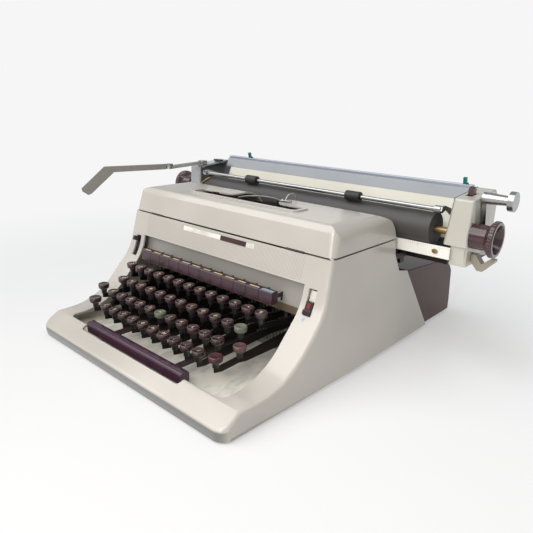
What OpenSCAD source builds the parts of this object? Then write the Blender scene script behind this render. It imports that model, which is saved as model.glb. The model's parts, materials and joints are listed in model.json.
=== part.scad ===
// Manual office typewriter with a hinged top cover and a long sliding carriage.
// Millimetres, +Z up, +X to the typist's right, +Y away from the typist.

/* [Casing] */
// Half width of the keyboard opening
opening_half = 138; // [137:0.5:142]
// Width of the borders beside the keyboard opening, measured at the cover seam
border_w = 28.5; // [26:0.5:32]
// Flare of each side from the seam to the lower edge
side_flare = 6.5; // [4:0.5:9]
// Draw-in of each side at the front lip
lip_inset = 1; // [0:0.5:4]
// Depth from the front lip to the back of the rear housing
casing_d = 444; // [436:1:460]
// Thickness of the casing, cover and housing walls
wall = 2.4; // [1.6:0.1:3]
// Radius of the casing's front corners seen from above
corner_r = 14; // [8:1:20]
// Height of the rubber feet
foot_h = 5; // [4:0.5:7]
// Radius of a rubber foot
foot_r = 10; // [7:0.5:12]
// Height of the front lip's upright face
lip_h = 8; // [5:0.5:10]
// Run of the sloping apron behind the lip
apron_run = 23; // [18:1:26]
// Height of the flat keyboard border above the table
border_z = 25.5; // [23:0.5:28]
// Distance from the lip to the keyboard opening
opening_front = 26; // [24:0.5:28]
// Height of the upper edge of the keyboard opening
opening_top_z = 108.5; // [106:0.5:114]

/* [Casing curve] */
// Distance from the lip to where the side border starts to rise
bend_start = 42; // [38:1:46]
// Radius of the lower bend
bend1_r = 85; // [80:1:90]
// Turn of the lower bend in degrees
bend1_turn = 46; // [44:1:48]
// Length of the straight ramp between the bends
ramp_len = 30; // [26:1:34]
// Radius of the upper bend
bend2_r = 60; // [54:1:66]
// Turn of the upper bend in degrees
bend2_turn = 30; // [28:1:31]

/* [Cover] */
// Height of the seam under the top cover
seam_z = 138.5; // [136:0.5:141]
// Width of the seam
seam_gap = 1.8; // [1.4:0.1:2.2]
// Height of the cover's flat top
cover_top_z = 170; // [168:0.5:173]
// Radius of the cover's rear shoulders
shoulder_r = 40; // [37:1:42]
// Radius of the cover's front and side edges
cover_edge_r = 9; // [6:0.5:11]
// Radius of the cover's upright front corners
cover_corner_r = 8; // [4:0.5:10]
// Half width of the slot across the cover
window_half = 86; // [80:1:92]
// Depth of the slot across the cover
window_depth = 24; // [20:1:28]
// Radius of the slot's corners
window_r = 5; // [3:0.5:8]
// Half width of the notch through which the type bars strike
notch_half = 36; // [34:1:44]
// Radius of the corners between slot and notch
wing_r = 12; // [6:1:16]
// Radius of the hinge pins
hinge_pin_r = 0.5; // [0.4:0.05:0.55]
// Radius of the hinge knuckles
knuckle_r = 1; // [0.95:0.05:1.2]
// Length of one hinge
hinge_len = 24; // [18:1:30]

/* [Keyboard] */
// Distance between neighbouring keys
key_pitch = 19.05; // [18.9:0.05:19.2]
// Distance from the lip to the bottom key row
row_start = 50; // [49:0.5:52]
// Run from the bottom row to the next
row_run = 17.2; // [17:0.1:18]
// Growth of the run from row to row
row_run_gain = 0.65; // [0.4:0.05:0.8]
// Height of the bottom row's key tops
row_z = 46; // [44:0.5:48]
// Rise from the bottom row to the next
row_rise = 11.1; // [10.5:0.1:11.5]
// Growth of the rise from row to row
row_rise_gain = 0.35; // [0.2:0.05:0.5]
// Radius of a key's top
key_r = 6.9; // [6.2:0.1:7.2]
// Radius of a key's base
key_base_r = 6; // [5:0.1:6.3]
// Height of a key cap
key_h = 9; // [7.5:0.5:10]
// Depth of the dish in a key's top
key_dish = 1.1; // [0.6:0.1:1.6]
// Radius of the shift key's top
shift_r = 7.6; // [7:0.1:8]
// Thickness of the key levers
lever_t = 1.6; // [1.2:0.1:1.8]
// Height of the key levers
lever_h = 7; // [5:0.5:8]
// Length of the stem between a cap and its lever
stem_h = 4.5; // [3.5:0.5:5.5]
// Radius of a key stem
stem_r = 2.2; // [1.8:0.1:2.4]
// Radius of the shaft that the key levers turn on
fulcrum_r = 3; // [2.5:0.1:3.4]
// Length of the space bar
space_len = 176; // [168:1:180]
// Depth of the space bar
space_d = 11; // [10:0.5:11.5]
// Height of the space bar
space_h = 13; // [9:0.5:13.5]
// Height of the space bar's top
space_z = 30.5; // [29.5:0.5:32]
// Width of the row of tabulator keys
tab_len = 229; // [220:1:234]
// Height of a tabulator key
tab_h = 13; // [10:0.5:14]
// Depth of a tabulator key
tab_d = 10; // [8:0.5:11]

/* [Carriage] */
// Rest offset of the carriage to the right of the casing's middle
carriage_x = 18.5; // [15:0.5:22]
// Length of the carriage over its end covers
carriage_len = 453; // [445:1:460]
// Distance from the lip to the platen's axis
platen_dist = 290; // [288:0.5:293]
// Height of the platen's axis
platen_z = 154; // [153:0.5:155]
// Radius of the platen
platen_r = 18.5; // [17.5:0.25:19]
// Room between each end of the platen and its end cover
platen_gap = 15; // [13:0.5:20]
// Radius of the platen's shaft
shaft_r = 4; // [3:0.25:4.5]
// Running clearance of shafts and pins
running = 0.06; // [0.03:0.01:0.1]
// Clearance between pieces that slide past each other
slide_gap = 0.4; // [0.3:0.1:0.8]
// Radius of a platen knob's rim
knob_r = 19.5; // [17:0.5:21]
// Radius of a platen knob's barrel
knob_barrel_r = 13.5; // [11:0.5:15]
// Length of a platen knob
knob_len = 27; // [22:1:30]
// Width of an end cover at its foot
end_w = 26; // [23:0.5:28]
// Height of the line scale
scale_h = 13.5; // [12:0.5:14]
// Radius of the paper bail's rod
bail_r = 2.6; // [2:0.1:3]
// Radius of the bail's rollers
roller_r = 6; // [5:0.25:6.5]
// Length of a bail roller
roller_len = 20; // [14:1:24]
// Radius of the paper feed rollers
feed_r = 6; // [5:0.25:7]

/* [Type basket] */
// Number of type bars
typebar_n = 41; // [31:2:43]
// Radius of the arc that the type bars hang on
basket_r = 70; // [66:1:74]
// Thickness of a type bar
typebar_t = 1.2; // [0.8:0.1:1.5]
// Radius of the ribbon spools
spool_r = 22; // [18:0.5:24]

/* [Hidden] */
$fn = 48;

// Colours
c_casing = [0.78, 0.76, 0.72];
c_maroon = [0.24, 0.11, 0.12];
c_key = [0.25, 0.14, 0.16];
c_black = [0.1, 0.1, 0.11];
c_steel = [0.6, 0.61, 0.62];
c_cream = [0.88, 0.86, 0.78];
c_brass = [0.66, 0.55, 0.34];
c_teal = [0.12, 0.48, 0.45];

// Main datums
yf = -casing_d / 2;
yr = casing_d / 2;
casing_w = 2 * (opening_half + border_w);
foot_w = casing_w + 2 * side_flare;
lip_w = casing_w - 2 * lip_inset;
seam_half = casing_w / 2;
foot_half = foot_w / 2;
lip_half = lip_w / 2;
flare_dist = 182;
rear_edge_top = yf + 272.5;
rear_edge_foot = yf + 365;
rear_step_z = 98;
pan_t = 2.5;
pan_z = foot_h + 0.5;
pan_top = pan_z + pan_t;
panel_angle = bend1_turn + bend2_turn;

// Casing curve, as centres of its two bends
function turned(c, r, a) = [c[0] + r * cos(a), c[1] + r * sin(a)];
function arc(c, r, a0, a1, n) = [for (i = [0:n]) turned(c, r, a0 + (a1 - a0) * i / n)];
c1 = [yf + bend_start, border_z + bend1_r];
e1 = turned(c1, bend1_r, bend1_turn - 90);
ramp_end = e1 + ramp_len * [cos(bend1_turn), sin(bend1_turn)];
c2 = ramp_end + bend2_r * [-sin(bend1_turn), cos(bend1_turn)];
function panel_y(z, t = 0) =
    let (e = turned(c2, bend2_r + t, panel_angle - 90)) e[0] + (z - e[1]) / tan(panel_angle);
function casing_curve(t) = concat(
    [[yf + t, foot_h + lip_h - t], [yf + apron_run + t / 3, border_z - t]],
    arc(c1, bend1_r + t, -90, bend1_turn - 90, 14),
    arc(c2, bend2_r + t, bend1_turn - 90, panel_angle - 90, 10));

// Placing helpers
module along_x(x0, x1) translate([x0, 0, 0]) rotate([90, 0, 90]) linear_extrude(x1 - x0) children();
module along_y(y0, y1) translate([0, y1, 0]) rotate([90, 0, 0]) linear_extrude(y1 - y0) children();
module rod_x(x0, x1, y, z, r) translate([x0, y, z]) rotate([0, 90, 0]) cylinder(r = r, h = x1 - x0);
module block(x0, x1, y0, y1, z0, z1) translate([x0, y0, z0]) cube([x1 - x0, y1 - y0, z1 - z0]);
module both_sides() {
    children();
    mirror([1, 0, 0]) children();
}

// Casing
side_top_half = seam_half + (seam_half - foot_half) * 0.3;
function plan_half(t) = concat(
    arc([lip_half - corner_r, yf + corner_r], corner_r - t, -90, -8, 6),
    [[foot_half - t, yf + flare_dist], [foot_half - t, yr + 200]]);
function mirrored(p) = [for (i = [len(p) - 1:-1:0]) [-p[i][0], p[i][1]]];
module casing_plan(t) {
    half = plan_half(t);
    translate([0, 0, -20]) linear_extrude(300) polygon(concat(half, mirrored(half)));
}
module casing_front_view(t) {
    slope = (foot_half - seam_half) / (seam_z - foot_h);
    low = foot_half - t + slope * (foot_h + 20);
    high = seam_half - t - slope * 60;
    along_y(yf - 20, yr + 200) polygon([[-low, -20], [low, -20], [high, seam_z + 60],
        [-high, seam_z + 60]]);
}
casing_top_z = seam_z - seam_gap / 2;
module casing_block() intersection() {
    along_x(-foot_w, foot_w) polygon(concat(
        [[yf, foot_h]], casing_curve(0), [[panel_y(casing_top_z), casing_top_z]],
        [[rear_edge_top - 2, casing_top_z], [rear_edge_top, 119], [rear_edge_top + 11, rear_step_z],
         [rear_edge_top + 31.5, rear_step_z - 4.5], [rear_edge_foot, foot_h]]));
    casing_plan(0);
    casing_front_view(0);
}
module casing_hollow() intersection() {
    along_x(-foot_w, foot_w) polygon(concat(
        [[yf + wall, -10]], casing_curve(wall), [[panel_y(seam_z + 30, wall), seam_z + 30]],
        [[yr + 100, seam_z + 30], [yr + 100, -10]]));
    casing_plan(wall);
    casing_front_view(wall);
}
opening_r = 9;
opening_back = panel_y(opening_top_z);
// Bay in the front border that the space bar stands in
space_front = yf + opening_front - 2.5;
space_mid = -6;
bay_gap = 3;
bay_front = 6;
bay_r = 4;
bay_half = space_len / 2 + bay_gap;
module space_bay() {
    half = concat(
        arc([bay_half - bay_r, space_front - bay_front + bay_r], bay_r, -90, 0, 4),
        [[bay_half, yf + opening_front + 1]]);
    translate([space_mid, 0, -20]) linear_extrude(300) polygon(concat(half, mirrored(half)));
}
module keyboard_opening() intersection() {
    along_x(-opening_half, opening_half) polygon([
        [yf + opening_front, -10], [yf + opening_front, opening_top_z],
            [opening_back - 30, opening_top_z + 30],
        [opening_back - 0.5, opening_top_z], [opening_back + 6, opening_top_z - 1],
            [opening_back + 6, -10]]);
    union() {
        half = concat(
            arc([opening_half - opening_r, yf + opening_front + opening_r], opening_r, -90, 0, 5),
            [[opening_half, yr]]);
        translate([0, 0, -20]) linear_extrude(300) polygon(concat(half, mirrored(half)));
    }
}
// Slots for the two levers in the borders
slot_w = 10;
slot_len = 28;
slot_x = opening_half + 12;
slot_z = 93;
slot_y = c2[0] + sqrt(bend2_r * bend2_r - (slot_z - c2[1]) * (slot_z - c2[1]));
slot_tilt = 90 + asin((slot_z - c2[1]) / bend2_r);
module on_border(side) translate([side * slot_x, slot_y, slot_z]) rotate([slot_tilt, 0, 0]) children();
module border_slots() {
    for (side = [-1, 1])
        on_border(side) translate([-slot_w / 2, -slot_len / 2, -wall * 3]) cube([slot_w, slot_len,
            wall * 6]);
}
// Hinge of the cover, just inside the seam
hinge_y = panel_y(seam_z) + 0.6;
hinge_z = seam_z;
hinge_x = seam_half - 48.5;
hinge_third = hinge_len / 3;
module hinge_room(r) for (side = [-1, 1])
    rod_x(side * hinge_x - hinge_len / 2 - 0.4, side * hinge_x + hinge_len / 2 + 0.4, hinge_y, hinge_z, r);
module knuckle(x0, x1, lug) difference() {
    union() {
        rod_x(x0, x1, hinge_y, hinge_z, knuckle_r);
        block(x0, x1, hinge_y, hinge_y + wall, min(hinge_z, hinge_z + lug), max(hinge_z, hinge_z + lug));
    }
    rod_x(x0 - 1, x1 + 1, hinge_y, hinge_z, hinge_pin_r + running);
}
knuckle_lug = 3.2;
module body_shell() color(c_casing) {
    difference() {
        casing_block();
        casing_hollow();
        keyboard_opening();
        intersection() {
            space_bay();
            block(-foot_w, foot_w, yf, 0, -10, opening_top_z);
        }
        border_slots();
        hinge_room(knuckle_r + slide_gap);
    }
    for (side = [-1, 1], end = [-1, 1])
        let (x = side * hinge_x + end * hinge_third)
            knuckle(x - hinge_third / 2 + 0.2, x + hinge_third / 2 - 0.2, -knuckle_lug);
}

// Top cover
cover_low_z = seam_z + seam_gap / 2;
shoulder_c = [yf + 233, cover_top_z - shoulder_r];
function cover_front_c() =
    let (z = cover_top_z - cover_edge_r)
        [panel_y(z + cover_edge_r * cos(panel_angle)) + cover_edge_r * sin(panel_angle), z];
function cover_curve(t, low) = concat(
    [[panel_y(low, t), low]],
    arc(cover_front_c(), cover_edge_r - t, 90 + panel_angle, 90, 6),
    arc(shoulder_c, shoulder_r - t, 90, asin((cover_low_z - shoulder_c[1]) / shoulder_r), 10));
module cover_block(t, low) intersection() {
    along_x(-casing_w, casing_w) polygon(t > 0
        ? concat(cover_curve(t, low), [[shoulder_c[0] + shoulder_r - t, low]])
        : cover_curve(t, low));
    along_y(yf, yr) polygon(concat(
        [[seam_half - t, low]],
        arc([seam_half - cover_edge_r, cover_top_z - cover_edge_r], cover_edge_r - t, 0, 90, 6),
        arc([-seam_half + cover_edge_r, cover_top_z - cover_edge_r], cover_edge_r - t, 90, 180, 6),
        [[-seam_half + t, low]]));
}
window_front = yf + 184;
window_back = window_front + window_depth;
lip_rise = 1.6;
lip_band = 5;
module window_prism(z0, z1) {
    half = concat(
        arc([window_half - window_r, window_front + window_r], window_r, -90, 0, 4),
        arc([window_half - window_r, window_back - window_r], window_r, 0, 90, 4),
        arc([notch_half + wing_r, window_back + wing_r], wing_r, 270, 180, 5),
        [[notch_half, yr]]);
    translate([0, 0, z0]) linear_extrude(z1 - z0) polygon(concat(half, mirrored(half)));
}
// Raised rim along the slot's front and ends
module window_rim(z0, z1) {
    half = concat(
        arc([window_half - window_r, window_front + window_r], window_r + lip_band, -90, 0, 4),
        [[window_half + lip_band, window_back - window_r]]);
    translate([0, 0, z0]) linear_extrude(z1 - z0) polygon(concat(half, mirrored(half)));
}
// Prism along the front panel's slope, with rounded upright corners
module panel_prism(t) translate([0, panel_y(seam_z), seam_z]) rotate([panel_angle - 90, 0, 0]) {
    half = concat(
        arc([seam_half - cover_corner_r, cover_corner_r], cover_corner_r - t, -90, 0, 6),
        [[seam_half - t, casing_d]]);
    translate([0, 0, -seam_z]) linear_extrude(2 * seam_z) polygon(concat(half, mirrored(half)));
}
module top_cover() color(c_casing) {
    difference() {
        union() {
            intersection() {
                cover_block(0, cover_low_z);
                panel_prism(0);
            }
            window_rim(cover_top_z - wall, cover_top_z + lip_rise);
        }
        intersection() {
            cover_block(wall, cover_low_z - 10);
            panel_prism(wall);
        }
        window_prism(cover_low_z - 10, cover_top_z + 10);
        hinge_room(knuckle_r + slide_gap);
    }
    for (side = [-1, 1])
        knuckle(side * hinge_x - hinge_third / 2 + 0.2, side * hinge_x + hinge_third / 2 - 0.2,
            knuckle_lug);
}
module cover_hinge_pins() color(c_steel) for (side = [-1, 1])
    rod_x(side * hinge_x - hinge_len / 2, side * hinge_x + hinge_len / 2, hinge_y, hinge_z, hinge_pin_r);

// Rear housing, a low hood behind the casing
housing_gap = 1.2;
housing_half = seam_half + 2;
housing_foot = 20;
function housing_profile(t, low) = [
    [rear_edge_top + 31.5 + housing_gap + t * 2, rear_step_z - 4.5 - t],
    [yr - 20 - t / 2, rear_step_z - 14 - t], [yr - 5 - t, rear_step_z - 34 - t / 2],
    [yr - t, housing_foot], [yr - t, low], [rear_edge_foot + housing_gap + t * 2, low]];
module rear_housing() color(c_maroon) difference() {
    along_x(-housing_half, housing_half) polygon(housing_profile(0, foot_h));
    along_x(-housing_half + wall, housing_half - wall) polygon(concat(
        housing_profile(wall, -5), [[rear_edge_foot - 60, -5], [rear_edge_top, rear_step_z - 4.5 - wall]]));
    // Vent slots in the back
    for (i = [-6:6])
        block(i * 18 - 6, i * 18 + 6, yr - 30, yr + 5, 30, 34);
}

// Base pan and feet
pan_half = lip_half - wall - 5;
pan_rim = 4;
pan_flange = 280;
pan_front = yf + 9;
pan_back = yr - wall - 4;
module base_pan() color(c_cream) {
    difference() {
        block(-pan_half, pan_half, pan_front, pan_back, pan_z, pan_top + pan_rim);
        block(-pan_half + pan_t, pan_half - pan_t, pan_front + pan_t, pan_back - pan_t, pan_top,
            pan_top + 20);
    }
    block(-pan_flange / 2, pan_flange / 2, yf + wall, pan_front + 1, pan_z, pan_top);
    block(-pan_flange / 2, pan_flange / 2, pan_back - 1, yr - wall, pan_z, pan_top);
    // Welded post of the mainspring drum
    translate([drum_x, drum_y, pan_top - 1]) cylinder(r = drum_post_r, h = drum_z + 12 - pan_top);
    translate([drum_x, drum_y, pan_top - 1]) cylinder(r = drum_post_r + 2,
        h = drum_z - 8 - slide_gap - pan_top + 1);
}
foot_x = 128;
foot_inset = 19;
module feet() color(c_black) for (x = [-foot_x, foot_x], y = [yf + foot_inset, yr - foot_inset - 8])
    translate([x, y, 0]) cylinder(r = foot_r, h = pan_z);

// Inner frame
frame_x = opening_half + 10;
frame_t = 3;
rail_z = 100;
fulcrum_y = yf + 290;
fulcrum_z = 38;
frame_y0 = yf + 162;
frame_low_y = yf + 345;
frame_top = 93;
module side_frames() color(c_steel) both_sides() difference() {
    along_x(frame_x, frame_x + frame_t) polygon([
        [frame_y0, pan_top], [frame_low_y, pan_top], [yf + 312, rail_z - 12], [yf + 303, rail_z - 10],
        [yf + 303, rail_z], [yf + 278, rail_z],
        [yf + 264, frame_top], [frame_y0, frame_top]]);
    rod_x(frame_x - 1, frame_x + frame_t + 1, fulcrum_y, fulcrum_z, fulcrum_r);
    rod_x(frame_x - 1, frame_x + frame_t + 1, tab_pivot_y, tab_pivot_z, tab_pivot_r);
    rod_x(frame_x - 1, frame_x + frame_t + 1, space_pivot_y, space_pivot_z, space_pivot_r);
    // Lightening hole
    rod_x(frame_x - 1, frame_x + frame_t + 1, yf + 215, 40, 16);
}
module pivot_shafts() color(c_steel) {
    reach = frame_x + frame_t + 2;
    rod_x(-reach, reach, fulcrum_y, fulcrum_z, fulcrum_r);
    rod_x(-reach, reach, tab_pivot_y, tab_pivot_z, tab_pivot_r);
    rod_x(-reach, reach, space_pivot_y, space_pivot_z, space_pivot_r);
}
back_plate_y = opening_back + wall + 3;
back_plate_low = 78;
module key_back_plate() color(c_casing) difference() {
    along_x(-opening_half - 6, opening_half + 6) polygon([
        [back_plate_y, back_plate_low], [back_plate_y + 1.5, back_plate_low],
        [back_plate_y + 7.5, opening_top_z + 8], [back_plate_y + 6, opening_top_z + 8]]);
    for (i = [0:tab_n - 1])
        block(tab_x(i) - lever_t / 2 - 0.6, tab_x(i) + lever_t / 2 + 0.6, back_plate_y - 5,
            back_plate_y + 10,
            back_plate_low + 1.5, tab_pivot_z + 3.6);
}
cross_bar_z = 69;
module key_cross_bar() color(c_brass) union() {
    block(-opening_half - 6, opening_half + 6, back_plate_y - 1, back_plate_y + 4, cross_bar_z,
        back_plate_low);
    both_sides() block(opening_half + 6, frame_x + frame_t, back_plate_y - 1, frame_y0,
        cross_bar_z, back_plate_low - 4);
}

// Keys
row_first = [1.25, 0.75, 0.5, 0];
row_count = [10, 11, 11, 13];
key_mid = -2.5;
first_key_x = key_mid - 6 * key_pitch;
function row_y(i) = yf + row_start + row_run * i + row_run_gain * i * (i - 1);
function row_top(i) = row_z + row_rise * i + row_rise_gain * i * (i - 1);
function key_x(i, k) = first_key_x + (row_first[i] + k) * key_pitch;
module key_cap(top_r, base_r) {
    dish_r = (top_r * top_r + key_dish * key_dish) / (2 * key_dish);
    rim = top_r - 0.8;
    rotate_extrude() polygon(concat(
        [[0, -key_h], [base_r - 0.6, -key_h], [base_r, -key_h + 0.8], [top_r, -2], [top_r, -1.2],
         [top_r - 0.25, -0.35], [rim, 0]],
        [for (i = [4:-1:0]) let (x = rim * i / 5) [x, dish_r - key_dish - sqrt(dish_r * dish_r - x * x)]]));
}
// A flat lever from below a key back to the fulcrum shaft
module key_lever(x, y, top) {
    z = top - key_h - stem_h;
    difference() {
        union() {
            translate([x, y, z - 1]) cylinder(r = stem_r, h = stem_h + 1);
            along_x(x - lever_t / 2, x + lever_t / 2) polygon([
                [y - stem_r, z], [y + stem_r, z], [fulcrum_y, fulcrum_z + lever_h / 2 + 1],
                [fulcrum_y + 5.5, fulcrum_z + 2], [fulcrum_y + 5.5, fulcrum_z - 4],
                [fulcrum_y, fulcrum_z - lever_h / 2 - 2], [y + 8, z - lever_h],
                    [y - stem_r, z - lever_h + 2]]);
        }
        rod_x(x - lever_t, x + lever_t, fulcrum_y, fulcrum_z, fulcrum_r + running);
    }
}
module caps_of_row(i) color(c_key) for (k = [0:row_count[i] - 1])
    translate([key_x(i, k), row_y(i), row_top(i)]) key_cap(key_r, key_base_r);
module levers_of_row(i) color(c_black) for (k = [0:row_count[i] - 1])
    key_lever(key_x(i, k), row_y(i), row_top(i));
module key_caps_1() caps_of_row(0);
module key_caps_2() caps_of_row(1);
module key_caps_3() caps_of_row(2);
module key_caps_4() caps_of_row(3);
module key_levers_1() levers_of_row(0);
module key_levers_2() levers_of_row(1);
module key_levers_3() levers_of_row(2);
module key_levers_4() levers_of_row(3);
module whole_key(x, y, top, r) {
    translate([x, y, top]) key_cap(r, key_base_r + r - key_r);
    key_lever(x, y, top);
}
// Left end keys keep to the opening's edge, right end keys keep to their rows
shift_in = 13.4;
lock_in = 4.3;
shift_x = [shift_in - opening_half, key_x(0, 9) + 20.9];
lock_x = lock_in - opening_half;
backspace_x = key_x(1, 10) + 27.6;
module shift_keys() color(c_key) for (x = shift_x) whole_key(x, row_y(0) + 4, row_top(0), shift_r);
module shift_lock_key() color(c_key) whole_key(lock_x, row_y(1) + 5, row_top(1), key_r);
module backspace_key() color(c_key) whole_key(backspace_x, row_y(1) + 4, row_top(1), key_r);
module margin_key() color([0.55, 0.58, 0.5]) whole_key(key_x(2, 11), row_y(2), row_top(2), key_r);
comb_y = frame_y0 + 2;
comb_gap = 0.6;
comb_top = 66;
lever_xs = concat(
    [for (i = [0:3], k = [0:row_count[i] - 1]) key_x(i, k)], shift_x,
    [lock_x, backspace_x, key_x(2, 11)]);
module key_comb() color(c_steel) difference() {
    block(-frame_x, frame_x, comb_y, comb_y + 2, pan_top, comb_top);
    for (x = lever_xs)
        block(x - lever_t / 2 - comb_gap, x + lever_t / 2 + comb_gap, comb_y - 1, comb_y + 3, 16,
            comb_top - 4);
    for (x = space_arm_x)
        block(x - 1.6, x + 1.6, comb_y - 1, comb_y + 3, pan_top + 0.5, comb_top - 4);
}

// Space bar on two arms that turn on short pins in the pan
space_arm_x = [key_x(0, 1) + key_pitch / 2, key_x(0, 7) + key_pitch / 2];
space_pivot_y = yf + 200;
space_pivot_z = pan_top + 9;
space_pivot_r = 1.5;
module space_bar() color(c_maroon) {
    x0 = space_mid - space_len / 2;
    along_x(x0, x0 + space_len) polygon(concat(
        [[space_front + 0.8, space_z - space_h]],
        arc([space_front + 3, space_z - 3], 3, 180, 90, 4),
        arc([space_front + space_d - 3, space_z - 3], 3, 90, 0, 4),
        [[space_front + space_d, space_z - space_h]]));
    for (x = space_arm_x) difference() {
        union() {
            along_x(x - 1, x + 1) polygon([
                [space_front + 2, space_z - space_h + 1], [space_front + space_d - 2,
                    space_z - space_h + 1],
                [space_front + space_d - 2, 22], [space_pivot_y, space_pivot_z + 3.5],
                [space_pivot_y, space_pivot_z - 3.5], [space_front + space_d - 2, 15.5],
                    [space_front + 2, 15.5]]);
            rod_x(x - 1, x + 1, space_pivot_y, space_pivot_z, 3.5);
        }
        rod_x(x - 2, x + 2, space_pivot_y, space_pivot_z, space_pivot_r + running);
    }
}

// Tabulator keys, a row of blocks on thin levers
tab_n = 12;
tab_front = yf + 120;
tab_top = 97;
tab_pivot_y = yf + 169;
tab_pivot_z = 86;
tab_pivot_r = 2;
tab_step = tab_len / tab_n;
tab_mid = -2;
function tab_x(i) = tab_mid + (i - (tab_n - 1) / 2) * tab_step;
module tab_keys() color(c_maroon) for (i = [0:tab_n - 1]) {
    x = tab_x(i);
    along_x(x - tab_step / 2 + 0.25, x + tab_step / 2 - 0.25) polygon([
        [tab_front, tab_top - tab_h], [tab_front + 0.6, tab_top - 0.8], [tab_front + 1.4, tab_top],
        [tab_front + tab_d, tab_top], [tab_front + tab_d, tab_top - tab_h]]);
    difference() {
        union() {
            along_x(x - lever_t / 2, x + lever_t / 2) polygon([
                [tab_front + tab_d - 1, tab_pivot_z + 3], [tab_pivot_y, tab_pivot_z + 3],
                [tab_pivot_y, tab_pivot_z - 1.5], [tab_front + tab_d - 1, tab_pivot_z - 1.5]]);
            rod_x(x - lever_t / 2, x + lever_t / 2, tab_pivot_y, tab_pivot_z, 4);
        }
        rod_x(x - lever_t, x + lever_t, tab_pivot_y, tab_pivot_z, tab_pivot_r + running);
    }
}

// Type basket: bars hang on an arc round the printing point
print_y = yf + platen_dist - platen_r - 1;
segment_y = yf + 250;
segment_t = 12;
fan = 140;
typebar_len = 70;
bar_step = fan / (typebar_n - 1);
module fan_out(i) translate([0, 0, platen_z]) rotate([0, (i - (typebar_n - 1) / 2) * bar_step, 0])
    translate([0, 0, -platen_z]) children();
pivot_z = platen_z - basket_r;
pivot_r = 1;
module typebar() difference() {
    union() {
        along_x(-typebar_t / 2, typebar_t / 2) polygon([
            [segment_y + 5, pivot_z - 5], [segment_y + 4, pivot_z + 3], [segment_y - 4, pivot_z + 4],
            [segment_y - typebar_len, pivot_z + 8], [segment_y - typebar_len, pivot_z + 4],
            [segment_y - 30, pivot_z - 1], [segment_y - 4, pivot_z - 4]]);
        block(-typebar_t, typebar_t, segment_y - typebar_len - 3, segment_y - typebar_len + 0.5,
            pivot_z + 1, pivot_z + 11);
    }
    rod_x(-5, 5, segment_y, pivot_z, pivot_r + running);
}
module typebars() color(c_steel) for (i = [0:typebar_n - 1])
    if (i != (typebar_n - 1) / 2) fan_out(i) typebar();
module centre_typebar() color(c_steel) typebar();
heel_room = 7.7;
segment_in = basket_r - 7;
segment_out = basket_r + 12;
module type_segment() color(c_steel) {
    difference() {
        intersection() {
            translate([0, segment_y + segment_t / 2, platen_z]) rotate([90, 0, 0])
                difference() {
                    cylinder(r = segment_out, h = segment_t);
                    translate([0, 0, -1]) cylinder(r = segment_in, h = segment_t + 2);
                }
            block(-segment_out, segment_out, segment_y - segment_t, segment_y + segment_t,
                platen_z - segment_out - 1, platen_z - basket_r * cos(fan / 2 + 8));
        }
        for (i = [0:typebar_n - 1])
            fan_out(i) block(-typebar_t / 2 - 0.4, typebar_t / 2 + 0.4, segment_y - segment_t,
                segment_y + segment_t,
                pivot_z - heel_room, pivot_z + 12);
    }
    // Pivot pins across the slots
    for (i = [0:typebar_n - 1])
        fan_out(i) rod_x(-typebar_t / 2 - 0.6, typebar_t / 2 + 0.6, segment_y, pivot_z, pivot_r);
    // Feet on the side frames
    both_sides() block(segment_out * sin(fan / 2 + 4) - 8, frame_x, segment_y - 5,
        segment_y + segment_t / 2,
        platen_z - basket_r * cos(fan / 2 + 8) - 8, platen_z - basket_r * cos(fan / 2 + 8));
    both_sides() block(frame_x, frame_x + frame_t, segment_y - 5, segment_y + segment_t / 2,
        frame_top, platen_z - basket_r * cos(fan / 2 + 8));
    // Guide of the ribbon vibrator
    block(-vibrator_w / 2, vibrator_w / 2, segment_y + segment_t / 2, ribbon_y - 1.6 - slide_gap, 76, 82);
}

// Ribbon
spool_x = frame_x - 26;
spool_y = yf + 205;
spool_z = 142;
spool_h = 14;
module spool() difference() {
    rotate_extrude() polygon([
        [0, 0], [spool_r, 0], [spool_r, 1], [spool_r * 0.8, 1], [spool_r * 0.8, spool_h - 1],
        [spool_r, spool_h - 1], [spool_r, spool_h], [0, spool_h]]);
    translate([0, 0, -1]) cylinder(r = 2 + running, h = spool_h + 2);
}
module ribbon_spool_left() color(c_steel) translate([-spool_x, spool_y, spool_z]) spool();
module ribbon_spool_right() color(c_steel) translate([spool_x, spool_y, spool_z]) spool();
module spool_brackets() color(c_steel) both_sides() union() {
    translate([spool_x, spool_y, spool_z - 2.5]) cylinder(r = 2, h = spool_h + 4);
    block(spool_x - 8, frame_x + frame_t, spool_y - 8, spool_y + 8, spool_z - 3, spool_z - 0.5);
    block(frame_x, frame_x + frame_t, spool_y - 8, spool_y + 8, frame_top, spool_z - 3);
}
ribbon_y = print_y - 2.5;
vibrator_w = 6;
ribbon_flat = 14;
module ribbon() color(c_black) {
    z = spool_z + 1.5;
    for (side = [-1, 1])
        translate([0, 0, z]) linear_extrude(spool_h - 3) polygon([
            [side * spool_x * 0.98, spool_y + spool_r * 0.8 + 0.4],
                [side * spool_x * 0.98, spool_y + spool_r * 0.8 + 0.7],
            [side * ribbon_flat, ribbon_y + 0.3], [side * ribbon_flat, ribbon_y]]);
    block(-ribbon_flat, ribbon_flat, ribbon_y, ribbon_y + 0.3, z, z + spool_h - 3);
}
module ribbon_vibrator() color(c_steel) difference() {
    union() {
        block(-11, 11, ribbon_y - 1.6, ribbon_y - 0.4, 128, spool_z + 16);
        block(-vibrator_w / 2, vibrator_w / 2, ribbon_y - 1.6, ribbon_y - 0.4, 66, 129);
    }
    block(-5, 5, ribbon_y - 5, ribbon_y + 5, spool_z + 1, spool_z + 30);
}

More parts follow.
